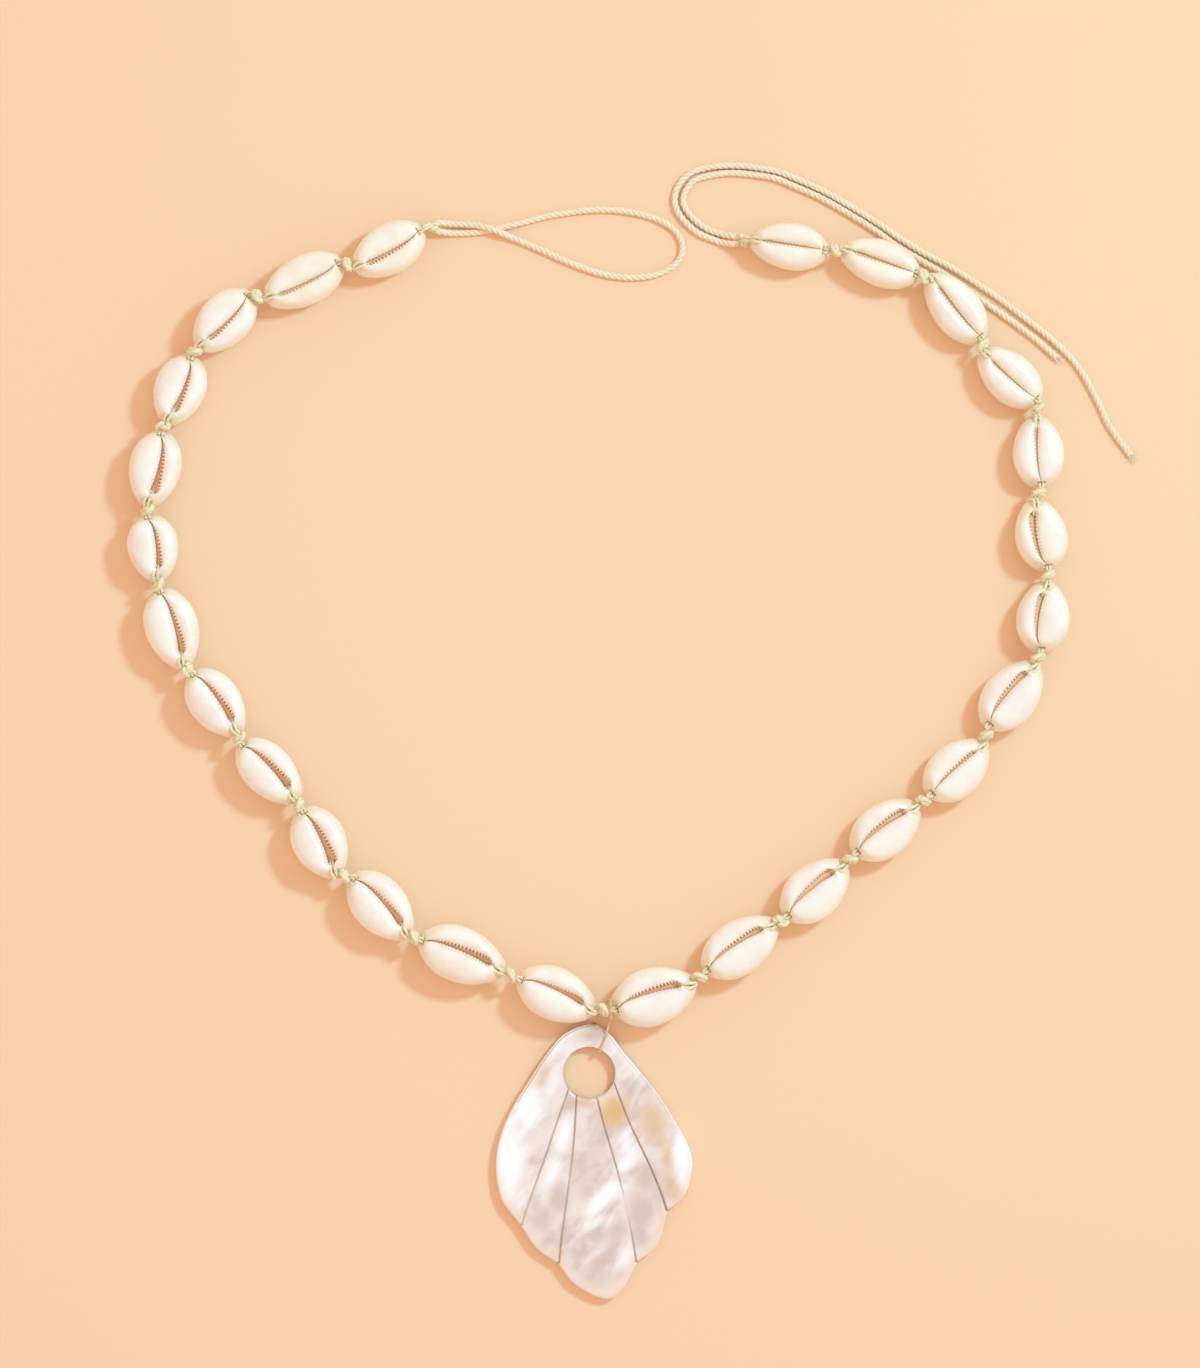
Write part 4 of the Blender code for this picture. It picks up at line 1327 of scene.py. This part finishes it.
# Where a cord starts inside its end knot, as shares of its route's first point
INSIDE_KNOT = (0.4, 0.6, 1.0)
LOOP_ROUTE = (
    (1.9, 0.9, 1.2), (4.5, 0.8, 0.3), (8.6, 0.6, 0.6), (12.6, -0.3, 1.3), (16.2, -1.7, 0.5),
    (19.5, -3.0, 0), (23.3, -4.6, 0), (29.6, -7.4, 0), (35.9, -9.6, 0),
    (41.2, -10.4, 0), (46.4, -10.1, 0), (50.2, -8.6, 0), (52.4, -6.7, 0),
    (53.1, -4.4, 0), (52.6, -2.0, 0), (50.6, 0.3, 0), (46.4, 2.4, 0),
    (40.1, 3.7, 0), (33.8, 3.8, 0), (25.4, 2.7, 0), (19.1, 1.1, 0),
    (15.5, 0.2, 0), (12.4, -0.5, 0), (8.6, -1.0, 0), (4.6, -1.1, 0.2), (1.9, -0.9, 1.2),
)
LONG_TAIL_ROUTE = (
    (-1.9, -0.7, 1.2), (-4.2, -0.2, 0.2), (-6.8, 0.7, 0), (-9.7, 2.1, 0),
    (-12.9, 5.2, 0), (-14.2, 8.4, 0), (-13.6, 11.5, 0), (-11.4, 14.1, 0),
    (-8.3, 15.4, 0), (-4.0, 16.0, 0), (1.0, 15.9, 0), (7.1, 14.9, 0),
    (11.4, 13.3, 0), (17.6, 10.5, 0), (23.9, 6.9, 0), (29.2, 3.6, 0),
    (33.4, 0.7, 0), (38.6, -2.5, 0), (44.3, -5.5, 0), (53.3, -11.3, 0),
    (59.6, -16.0, 0), (64.9, -20.2, 0), (68.5, -23.5, 0), (71.2, -26.7, 0),
    (73.5, -30.5, 0), (75.4, -34.2, 0), (77.9, -39.3, 0), (82.1, -45.2, 0),
)
SHORT_TAIL_ROUTE = (
    (-1.8, 0.9, 1.2), (-4.4, 1.6, 0.2), (-7.4, 2.7, 0), (-10.3, 4.9, 0),
    (-12.2, 7.5, 0), (-12.3, 9.7, 0), (-11.3, 11.7, 0), (-9.3, 13.3, 0),
    (-3.9, 14.4, 0), (0.8, 14.3, 0), (6.8, 13.4, 0), (10.8, 11.8, 0),
    (16.9, 9.1, 0), (23.2, 5.5, 0), (28.4, 2.2, 0), (32.5, -0.8, 0),
    (37.8, -4.0, 0), (43.2, -7.2, 0), (52.0, -13.3, 0), (58.6, -18.0, 0),
    (63.0, -21.4, 0), (66.5, -24.6, 0),
)


class FarEnd(Enum):
    """Where the far end of a free cord is."""

    KNOT = "object"
    BARE = "bare"


@dataclass
class FreeCord:
    """A twisted cord that leaves an end knot and lies on the surface."""

    node: str
    route: tuple[tuple[float, float, float], ...]
    knot: np.ndarray
    far_end: FarEnd
    diameter: float = 1.42 * MM
    pitch: float = 3.8 * MM
    spacing: float = 0.22 * MM
    # Loose fibres at a bare end: how many, their radius (seven times a real one's, so that the end
    # shows as frayed), how low they lie and their twist
    frayed: int = 0
    fibre_radius: float = 0.07 * MM
    fibre_height: float = 0.08 * MM
    fibre_pitch: float = 1.0 * MM

    def path(self) -> np.ndarray:
        """Lead the cord along its route, on the surface wherever it isn't lifted.

        Returns:
            Points of its middle line.
        """
        route = np.array(self.route)
        inside = route[:1] * INSIDE_KNOT
        back = route[-1:] * INSIDE_KNOT if self.far_end is FarEnd.KNOT else route[:0]
        route = np.concatenate([inside, route, back])
        corners = np.column_stack([
            self.knot[0] + route[:, 0] * MM,
            self.knot[1] + route[:, 1] * MM,
            CORD_DIAMETER * (0.5 + route[:, 2]),
        ])
        path = evenly_spaced(smooth_curve(corners, 40), self.spacing)
        path[:, 2] = np.maximum(path[:, 2], self.diameter / 2)
        return path

    def fray(self, path: np.ndarray) -> bpy.types.Object:
        """Add the loose fibres at a bare end.

        Args:
            path: Points of the cord's middle line.

        Returns:
            The fibres as one piece.
        """
        chance = random.Random(self.frayed)
        ahead = unit(path[-1] - path[-4])
        draft = MeshDraft()
        for _ in range(self.frayed):
            spread = np.array([chance.uniform(-1, 1), chance.uniform(-1, 1), chance.uniform(-0.3, 0.5)])
            start = path[-1] - ahead * 0.4 * MM + spread * 0.3 * MM
            bend = start + ahead * chance.uniform(0.5, 0.9) * MM + spread * 0.2 * MM
            end = bend + ahead * chance.uniform(0.3, 1.0) * MM + spread * chance.uniform(0.3, 0.7) * MM
            route = smooth_curve(np.array([start, bend, end]), 4)
            route[:, 2] = np.maximum(route[:, 2], self.fibre_height)
            add_cord(draft, route, self.fibre_radius, Lay.YARN, self.fibre_pitch)
        piece = draft.build(f"{self.node}_fray", [CORD_COTTON.material()])
        return piece

    def build(self) -> bpy.types.Object:
        """Build the cord, and the loose fibres at a frayed end.

        Returns:
            The cord.
        """
        path = self.path()
        draft = MeshDraft()
        add_cord(draft, path, self.diameter / 2, Lay.CORD, self.pitch)
        piece = draft.build(f"{self.node}_twisted", [CORD_COTTON.material()])
        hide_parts(self.node)
        [self.fray(path)] if self.frayed else []
        return piece


# Pendant outline as its solid has it: share of the width from the middle, share of the length
# from the top, and whether it is a notch between two lobes
PENDANT_OUTLINE = (
    (-0.02, 0.000, False), (-0.147, 0.034, False), (-0.236, 0.103, False), (-0.325, 0.199, False),
    (-0.426, 0.319, False), (-0.485, 0.430, False), (-0.500, 0.530, False), (-0.470, 0.640, False),
    (-0.376, 0.731, True), (-0.294, 0.816, False), (-0.185, 0.870, True), (-0.096, 0.948, False),
    (0.056, 1.000, False), (0.147, 0.962, False), (0.221, 0.865, True), (0.325, 0.800, False),
    (0.376, 0.677, True), (0.462, 0.623, False), (0.500, 0.522, False), (0.477, 0.439, False),
    (0.340, 0.269, False), (0.152, 0.103, False), (0.076, 0.034, False),
)
# The engraved lines between the hole and their notches, in the same shares
GROOVES = (
    ((-0.110, 0.225), (-0.203, 0.384), (-0.269, 0.522), (-0.376, 0.731)),
    ((-0.078, 0.245), (-0.107, 0.446), (-0.147, 0.673), (-0.185, 0.870)),
    ((0.008, 0.255), (0.056, 0.384), (0.132, 0.572), (0.221, 0.865)),
    ((0.085, 0.205), (0.178, 0.356), (0.285, 0.518), (0.376, 0.677)),
)
# How strongly each line is cut along its way from the hole (0) to its notch (1)
GROOVE_CUT = (
    ((0.0, 0.8), (0.3, 0.7), (0.6, 0.8), (0.85, 0.45), (1.0, 0.6)),
    ((0.0, 1.0), (0.2, 0.9), (0.45, 0.6), (0.8, 0.8), (1.0, 0.9)),
    ((0.0, 0.9), (0.45, 0.8), (0.56, 0.5), (0.62, 0.1), (0.72, 0.15), (0.8, 0.6), (1.0, 0.9)),
    ((0.0, 1.0), (0.3, 0.8), (0.6, 1.0), (1.0, 1.0)),
)
# Section of an engraved line: places across it in half widths, and how deep it is cut there
GROOVE_SECTION = (
    (-1.6, 0.0), (-1.0, 0.1), (-0.45, 0.72), (0.0, 1.0), (0.45, 0.72), (1.0, 0.1), (1.6, 0.0),
)
# Waves of the pendant's face: height, radians for each millimetre across and up, how far a slower
# wave sways them, and that wave's own radians
RIPPLES = (
    (0.45, 0.55, 0.25, 1.3, 0.00, 0.16),
    (0.35, 0.95, -0.42, 0.7, 0.31, 0.00),
    (0.20, 0.60, 1.45, 1.0, 0.70, 0.00),
)
# Sections of the plate's rounded edges, in degrees: from the face down, and on to the back
EDGE_BENDS = (30, 60, 90)
BACK_BENDS = (0, 45, 90)


@dataclass(frozen=True)
class Patch:
    """A soft patch of one tint on the pendant, in shares of its width and length and in degrees."""

    tint: Tint
    across: float
    down: float
    wide: float
    tall: float
    turn: float
    strength: float


# Where the photograph's plate shows each tint, as across, down, wide, tall, turn and strength
PATCHES = tuple(Patch(tint, *row) for tint, rows in (
    # Painted highlights, where the layers mirror the lamp
    (Tint.BRIGHT, (
        (-0.337, 0.300, 0.075, 0.075, 0, 1.0), (-0.435, 0.470, 0.085, 0.150, 0, 1.15),
        (-0.400, 0.620, 0.060, 0.060, 0, 0.6), (-0.154, 0.415, 0.035, 0.060, 15, 1.0),
        (-0.215, 0.544, 0.034, 0.090, 20, 0.75), (0.065, 0.622, 0.115, 0.030, -47, 1.15),
        (0.172, 0.443, 0.040, 0.055, 0, 0.9), (0.172, 0.510, 0.080, 0.030, -35, 0.75),
        (0.455, 0.490, 0.045, 0.110, -8, 1.15), (0.190, 0.120, 0.180, 0.040, 53, 0.6),
        (-0.205, 0.191, 0.040, 0.070, 20, 0.7), (-0.180, 0.085, 0.150, 0.035, -55, 0.6),
        (0.040, 0.715, 0.090, 0.030, -20, 0.6), (0.170, 0.850, 0.060, 0.070, 0, 0.55),
    )),
    (Tint.TAN, (
        (0.105, 0.315, 0.070, 0.060, 0, 1.0), (0.310, 0.350, 0.080, 0.090, -15, 0.66),
        (0.365, 0.450, 0.040, 0.110, -10, 0.70), (-0.254, 0.180, 0.034, 0.075, 25, 0.65),
        (0.405, 0.605, 0.046, 0.070, -30, 0.74), (-0.060, 0.285, 0.090, 0.024, 0, 0.60),
        (0.345, 0.750, 0.040, 0.060, 20, 0.50),
    )),
    (Tint.LILAC, (
        (-0.266, 0.405, 0.080, 0.080, 0, 0.25), (0.020, 0.440, 0.080, 0.140, 0, 0.42),
        (-0.260, 0.700, 0.080, 0.065, 0, 0.75), (-0.060, 0.590, 0.060, 0.080, 0, 0.45),
        (0.280, 0.560, 0.070, 0.065, 0, 1.00), (0.121, 0.750, 0.060, 0.060, 0, 0.80),
        (-0.090, 0.830, 0.110, 0.036, -10, 0.20), (0.000, 0.920, 0.120, 0.045, 0, 0.60),
        # The first patch on this line, at the top middle, is partly the nacre's lilac and partly painted
        # shadow of the shells above the plate
        (0.000, 0.030, 0.080, 0.025, -15, 0.95), (0.240, 0.680, 0.070, 0.070, 0, 1.10),
        (0.235, 0.765, 0.050, 0.050, 0, 0.95), (-0.185, 0.630, 0.060, 0.060, 0, 0.95),
        (0.330, 0.640, 0.050, 0.060, 0, 0.70),
    )),
) for row in rows)


@dataclass
class Pendant:
    """The scalloped plate of mother-of-pearl with its hole and engraved lines."""

    hole_across: float = -0.026
    hole_down: float = 0.177
    hole: float = 11.0 * MM
    # Edges: their rounding, where the face starts to draw in, and how much lower the hole's rim is
    rounding: float = 0.5 * MM
    back_rounding: float = 0.25 * MM
    face_end: float = 0.8
    hole_drop: float = 0.2 * MM
    groove_width: float = 0.52 * MM
    groove_depth: float = 0.35 * MM
    # The back rises at this slope above the hole, up to this share of the thickness
    relief_slope: float = 0.068
    relief_share: float = 0.5
    ripple_height: float = 0.05 * MM
    # The mesh: rows from the hole to the outline, rows of the back, distance between columns, how
    # far a line sways its neighbours, and the powers that ease columns into the rims
    rows: int = 64
    back_rows: int = 10
    column_spacing: float = 0.55 * MM
    sway_reach: float = 12 * MM
    groove_ease: int = 12
    back_ease: int = 8
    # The painted warm bounce light from the card along the lower edge: strength, where it starts above the
    # outline and where down the plate
    bounce_light: float = 0.75
    bounce_start: float = 0.90
    bounce_down: tuple[float, float] = (0.35, 0.75)
    patch_fall: float = 0.7

    def __post_init__(self) -> None:
        """Take the plate's size and place from its solid, and draw its outline."""
        low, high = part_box("pendant")
        self.width, self.length, self.thickness = high - low
        self.middle = (low.x + high.x) / 2
        self.top = high.y
        self.hole_middle = self.at(self.hole_across, self.hole_down)
        outline, self.notches = self.outline()
        self.rim = np.vstack([outline, outline[:1]])
        self.rim_way = distances(self.rim)

    def at(self, across: float, down: float) -> np.ndarray:
        """World x and y of a share of the width from the middle and of the length from the top."""
        return np.array([self.middle + across * self.width, self.top - down * self.length])

    def outline(self) -> tuple[np.ndarray, list[int]]:
        """Draw the plate's outline, smooth between its notches.

        Returns:
            Its points from the first notch on, and the numbers of the points at the notches.
        """
        corners = [self.at(across, down) for across, down, _ in PENDANT_OUTLINE]
        notches = [index for index, row in enumerate(PENDANT_OUTLINE) if row[2]]
        outline, marks = [], []
        for start, end in zip(notches, notches[1:] + [notches[0] + len(corners)]):
            stretch = [corners[index % len(corners)] for index in range(start, end + 1)]
            marks.append(len(outline))
            outline.extend(smooth_curve(np.array(stretch), 12)[:-1])
        return np.array(outline), marks

    def on_rim(self, distance: float) -> np.ndarray:
        """Outline point at a distance along the outline from its first notch."""
        return points_at(self.rim, distance % self.rim_way[-1])

    def on_hole(self, point: np.ndarray) -> np.ndarray:
        """Point of the hole's rim that is nearest to another."""
        return self.hole_middle + unit(point - self.hole_middle) * self.hole / 2

    def groove_columns(self, number: int) -> list[np.ndarray]:
        """Lead the columns of one engraved line from the hole's rim to its notch.

        Args:
            number: Which line, from the left.

        Returns:
            One column for each place across the line's section.
        """
        corners = np.array([self.at(across, down) for across, down in GROOVES[number]])
        corners[0] = self.on_hole(corners[0])
        curve = smooth_curve(corners, 16)
        line = points_at(curve, np.linspace(0.0, distances(curve)[-1], self.rows))
        ahead = unit(np.gradient(line, axis=0))
        left = np.stack([-ahead[:, 1], ahead[:, 0]], axis=-1)
        steps = np.linspace(0.0, 1.0, self.rows)[:, None]
        ease_in, ease_out = (1 - steps) ** self.groove_ease, steps ** self.groove_ease
        columns = []
        for offset, _ in GROOVE_SECTION:
            reach = offset * self.groove_width / 2
            column = line + left * reach
            start = self.on_hole(column[0])
            end = self.on_rim(self.rim_way[self.notches[number]] + reach)
            columns.append(column + ease_in * (start - column[0]) + ease_out * (end - column[-1]))
        return columns

    def plain_columns(self, sides: list[np.ndarray], start: float, end: float) -> list[np.ndarray]:
        """Fill the plate between two engraved lines with columns.

        Args:
            sides: Last column of the line before, and first column of the line after.
            start: Distance along the outline at which the first one ends.
            end: Distance at which the last one ends.

        Returns:
            The columns between the two.
        """
        steps = np.linspace(0.0, 1.0, self.rows)[:, None]
        sways = [column - mix(column[:1], column[-1:], steps) for column in sides]
        angles = [math.atan2(*(column[0] - self.hole_middle)[::-1]) for column in sides]
        sweep = (angles[1] - angles[0]) % math.tau
        count = max(4, round((end - start) / self.column_spacing))
        columns = []
        for share in (step / count for step in range(1, count)):
            angle = angles[0] + sweep * share
            rim = self.hole_middle + self.hole / 2 * np.array([math.cos(angle), math.sin(angle)])
            fade = max(0.0, 1 - min(share, 1 - share) * (end - start) / self.sway_reach)
            columns.append(mix(rim, self.on_rim(mix(start, end, share)), steps) + mix(*sways, share) * fade)
        return columns

    def columns(self) -> tuple[np.ndarray, np.ndarray]:
        """Lead lines from the hole's rim to the outline that fit the engraved lines.

        Returns:
            Their points (row, column, x and y), and how deep each of them lies in an engraved
            line, from 0 to 1.
        """
        steps = np.linspace(0.0, 1.0, self.rows)
        groups = [self.groove_columns(number) for number in range(len(GROOVES))]
        margin = GROOVE_SECTION[-1][0] * self.groove_width / 2
        columns, deep = [], []
        for number, group in enumerate(groups):
            after = (number + 1) % len(groups)
            marks, cut = np.array(GROOVE_CUT[number]).T
            start = self.rim_way[self.notches[number]] + margin
            end = self.rim_way[self.notches[after]] - margin
            if end < start:
                end += self.rim_way[-1]
            plain = self.plain_columns([group[-1], groups[after][0]], start, end)
            columns += [*group, *plain]
            deep += [depth * np.interp(steps, marks, cut) for _, depth in GROOVE_SECTION]
            deep += [np.zeros(self.rows)] * len(plain)
        return np.stack(columns, axis=1), np.stack(deep, axis=1)

    def ripples(self, flat: np.ndarray) -> np.ndarray:
        """Raise the plate's face in gentle waves.

        Args:
            flat: The points' x and y.

        Returns:
            How far each point lies above or below the even face.
        """
        x, y = flat[..., 0] / MM, flat[..., 1] / MM
        waves = sum(
            height * np.sin(east * x + north * y + sway * np.sin(sway_east * x + sway_north * y))
            for height, east, north, sway, sway_east, sway_north in RIPPLES
        )
        return self.ripple_height * waves

    def values(self, flat: np.ndarray, groove: np.ndarray, edge: np.ndarray) -> dict[str, np.ndarray]:
        """Work out the shader's values for points of the plate.

        Args:
            flat: The points' x and y.
            groove: How deep each point lies in an engraved line, from 0 to 1.
            edge: How near each point is to the outline, from 0 to 1.

        Returns:
            The tints of the patches, the engraved lines and the painted warm bounce light along the lower
            edge.
        """
        across = (flat[..., 0] - self.middle) / self.width
        down = (self.top - flat[..., 1]) / self.length
        tints = {tint.value: np.zeros(across.shape) for tint in Tint}
        for patch in PATCHES:
            angle = math.radians(patch.turn)
            east = (across - patch.across) * self.width
            south = (down - patch.down) * self.length
            along = east * math.cos(angle) + south * math.sin(angle)
            beside = south * math.cos(angle) - east * math.sin(angle)
            far = (along / (patch.wide * self.width)) ** 2 + (beside / (patch.tall * self.length)) ** 2
            key = patch.tint.value
            tints[key] = np.maximum(tints[key], patch.strength * np.exp(-self.patch_fall * far))
        tints["groove"] = groove
        # Painted warm bounce light from the card, on the edge of the plate's lower part
        tints["thin"] = self.bounce_light * edge * smooth_step(down, *self.bounce_down)
        return tints

    def build(self) -> bpy.types.Object:
        """Build the plate as one closed skin: face, rounded edge, back and the hole's wall.

        Returns:
            The plate.
        """
        columns, depth = self.columns()
        rim = columns[-1]
        ring = np.roll(rim, -1, axis=0) - np.roll(rim, 1, axis=0)
        inward = unit(np.stack([-ring[:, 1], ring[:, 0]], axis=-1))
        steps = np.linspace(0.0, 1.0, self.rows)[:, None]
        pull = self.rounding * np.clip((steps - self.face_end) / (1 - self.face_end), 0, 1) ** 2
        face = columns + inward * pull[..., None]
        face_up = self.thickness + self.ripples(face) - depth * self.groove_depth
        face_up[0] -= self.hole_drop

        bend = np.radians(EDGE_BENDS)[:, None]
        edge = rim + inward * (self.rounding * (1 - np.sin(bend)))[..., None]
        edge_up = face_up[-1] - self.rounding * (1 - np.cos(bend))
        bend = np.radians(BACK_BENDS)[:, None]
        low_edge = rim + inward * (self.back_rounding * (1 - np.cos(bend)))[..., None]
        low_up = self.back_rounding * (1 - np.sin(bend)) * np.ones(len(rim))
        pick = np.linspace(self.rows - 1, 0, self.back_rows).round().astype(int)[1:]
        back = columns[pick] + inward * (self.back_rounding * steps[pick] ** self.back_ease)[..., None]
        back_up = np.zeros(back.shape[:2])

        flat = np.concatenate([face, edge, low_edge, back])
        up = np.concatenate([face_up, edge_up, low_up, back_up])
        edge_depth = np.broadcast_to(depth[-1], edge_up.shape)
        groove = np.concatenate([depth, edge_depth, np.zeros(low_up.shape), back_up])
        near = np.ones(groove.shape)
        near[:self.rows] = smooth_step(steps, self.bounce_start, 1.0)
        above_hole = np.maximum(0.0, flat[..., 1] - (self.hole_middle[1] - self.hole / 2))
        back_share = np.clip(1 - up / (self.relief_share * self.thickness), 0, 1)
        up = up + self.relief_slope * above_hole * back_share
        rows = np.concatenate([flat, up[..., None]], axis=-1)
        draft = MeshDraft()
        numbers = draft.add_points(rows, **self.values(flat, groove, near))
        closed = np.vstack([numbers, numbers[:1]])
        # The columns are taken in the other order, so that the faces look outward
        draft.add_quads(np.hstack([closed, closed[:, :1]])[:, ::-1])
        piece = draft.build("pendant_plate", [NACRE.material()])
        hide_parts("pendant")
        return piece


# The pendant's thread, read on three rulers. Across: 0 left strand, 1 entry to the hole, 2 beside
# the knot. Along: 0 inside the hole, 1 its rim, 2 the pendant's top, 3 before the string, 4 the
# string, 5 behind it. Up: 0 lying, 1 over the pendant, 2 under the knot, 3 over the string.
THREAD_ROUTE = (
    (2.00, 4.60, 3.00), (2.00, 3.40, 3.00), (2.00, 2.70, 2.55), (1.85, 2.30, 1.90),
    (1.55, 1.50, 1.20), (1.00, 1.00, 1.00), (1.00, 0.00, 0.80), (1.00, 0.00, 0.40),
    (0.90, 0.40, 0.04), (0.55, 1.40, 0.00), (0.10, 2.10, 0.07), (0.10, 2.35, 0.65),
    (0.45, 3.10, 1.45), (1.30, 4.50, 2.00), (1.80, 5.60, 2.25), (2.00, 5.50, 2.70),
)


@dataclass
class PendantThread:
    """The thread ring over the string beside the middle knot and through the pendant's hole."""

    pendant: Pendant
    knot: np.ndarray
    diameter: float = 0.5 * MM
    clearance: float = 0.3 * MM
    string: float = 1.3 * MM
    # Where it enters the hole, in hole widths from its middle, and how far its right and left strands
    # lie aside, in clearances with half a thread
    entry_aside: float = 0.21
    beside: float = 0.7
    left: float = 2.3
    pitch: float = 1.1 * MM
    spacing: float = 0.12 * MM

    def build(self) -> bpy.types.Object:
        """Build the twisted thread along its ring.

        Returns:
            The thread.
        """
        lying = self.diameter / 2
        reach = self.clearance + lying
        front = self.string / 2 + reach
        hole_x, hole_y = self.pendant.hole_middle
        aside = self.pendant.hole * self.entry_aside
        entry = hole_x + aside
        rim = hole_y + math.sqrt((self.pendant.hole / 2) ** 2 - aside ** 2)
        knot_x, knot_y, knot_z = self.knot
        rulers = (
            (entry - self.left * reach, entry, knot_x + KNOT_LENGTH / 2 + self.beside * reach),
            (rim - reach, rim, self.pendant.top, knot_y - front, knot_y, knot_y + front),
            (lying, self.pendant.thickness + reach, knot_z - KNOT_WIDTH / 2 - reach, knot_z + front),
        )

        def read(marks: tuple[float, ...], value: float) -> float:
            """Read a ruler between its marks.

            Args:
                marks: Places of the marks 0, 1, 2 and so on.
                value: Reading, in marks.

            Returns:
                The place of that reading.
            """
            index = min(max(int(value), 0), len(marks) - 2)
            return mix(marks[index], marks[index + 1], value - index)

        route = [[read(ruler, value) for ruler, value in zip(rulers, row)] for row in THREAD_ROUTE]
        ring = smooth_curve(np.array(route), 10, closed=True)
        path = evenly_spaced(np.vstack([ring, ring[:2]]), self.spacing)
        path[:, 2] = np.maximum(path[:, 2], lying)
        draft = MeshDraft()
        add_cord(draft, path, lying, Lay.YARN, self.pitch)
        piece = draft.build("pendant_thread_ring", [THREAD_COTTON.material()])
        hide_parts("pendant_thread")
        return piece


@dataclass
class Studio:
    """Camera straight above, a soft lamp from the upper right, an even fill and the card."""

    lens: float = 85.0
    sensor: float = 36.0
    lamp_place: tuple[float, float, float] = (0.310, 0.243, 0.420)
    lamp_size: float = 0.08
    lamp_colour: str = "#91DEFF"
    lamp_strength: float = 6.0
    fill_colour: str = "#FFE8DA"
    fill_strength: float = 0.885
    card_size: float = 3.0
    # The card lies this far under the necklace's surface
    card_drop: float = 0.02 * MM

    def camera(self) -> None:
        """Set up the camera so that its frame is the photograph's at the shells' height."""
        distance = PHOTO_HEIGHT * PHOTO_PIXEL * self.lens / self.sensor
        data = bpy.data.cameras.new("camera")
        data.lens = self.lens
        data.sensor_width = self.sensor
        data.clip_start = 0.01
        holder = bpy.data.objects.new("camera", data)
        holder.location = (CAMERA_X, CAMERA_Y, FOCUS_HEIGHT + distance)
        bpy.context.scene.collection.objects.link(holder)
        bpy.context.scene.camera = holder

    def light(self) -> None:
        """Light the card and the necklace evenly from a near lamp, and fill the shadows."""
        data = bpy.data.lights.new("key_lamp", "AREA")
        data.shape = "DISK"
        data.size = self.lamp_size
        data.energy = 1.0
        data.use_nodes = True
        tree = data.node_tree
        falloff = add_node(tree, "ShaderNodeLightFalloff", {"Strength": self.lamp_strength})
        fill(tree, tree.nodes["Emission"], {
            "Color": linear(self.lamp_colour), "Strength": falloff.outputs["Constant"],
        })
        lamp = bpy.data.objects.new("key_lamp", data)
        lamp.location = self.lamp_place
        aim = Vector((CAMERA_X, CAMERA_Y, 0.0)) - Vector(self.lamp_place)
        lamp.rotation_euler = aim.to_track_quat("-Z", "Y").to_euler()
        bpy.context.scene.collection.objects.link(lamp)

        world = bpy.data.worlds.new("even_fill")
        world.use_nodes = True
        fill(world.node_tree, world.node_tree.nodes["Background"], {
            "Color": linear(self.fill_colour), "Strength": self.fill_strength,
        })
        bpy.context.scene.world = world

    def card(self) -> None:
        """Lay the card under the necklace."""
        reach = self.card_size / 2
        data = bpy.data.meshes.new("card")
        corners = [(-reach, -reach, 0.0), (reach, -reach, 0.0), (reach, reach, 0.0), (-reach, reach, 0.0)]
        data.from_pydata(corners, [], [(0, 1, 2, 3)])
        data.materials.append(CARD.material())
        sheet = bpy.data.objects.new("card", data)
        sheet.location.z = -self.card_drop
        bpy.context.scene.collection.objects.link(sheet)

    def build(self) -> None:
        """Set up camera, light and card."""
        bpy.context.scene.view_settings.view_transform = "Standard"
        self.camera()
        self.light()
        self.card()


def main() -> None:
    """Build the studio, the cords, the shells and the pendant, in that order."""
    logging.basicConfig(level=logging.INFO, format="%(name)s: %(message)s")
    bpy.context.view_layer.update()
    Studio().build()
    log.info("studio ready")
    threaded = LEFT_SHELLS[::-1] + RIGHT_SHELLS
    string = ShellString(threaded)
    knots = string.knots()
    cords = (
        FreeCord("loop_cord", LOOP_ROUTE, knots[0][0], FarEnd.KNOT),
        FreeCord("tie_cord_long", LONG_TAIL_ROUTE, knots[-1][0], FarEnd.BARE, frayed=14),
        FreeCord("tie_cord_short", SHORT_TAIL_ROUTE, knots[-1][0], FarEnd.BARE, frayed=9),
    )
    for cord in cords:
        piece = cord.build()
        log.info("%s laid", piece.name)
    for piece in string.build():
        log.info("%s strung", piece.name)
    for shell in threaded:
        log.info("%s shaped", shell.build().name)
    pendant = Pendant()
    log.info("%s carved", pendant.build().name)
    thread = PendantThread(pendant, knots[len(LEFT_SHELLS)][0])
    log.info("%s tied", thread.build().name)


if __name__ == "__main__":
    main()
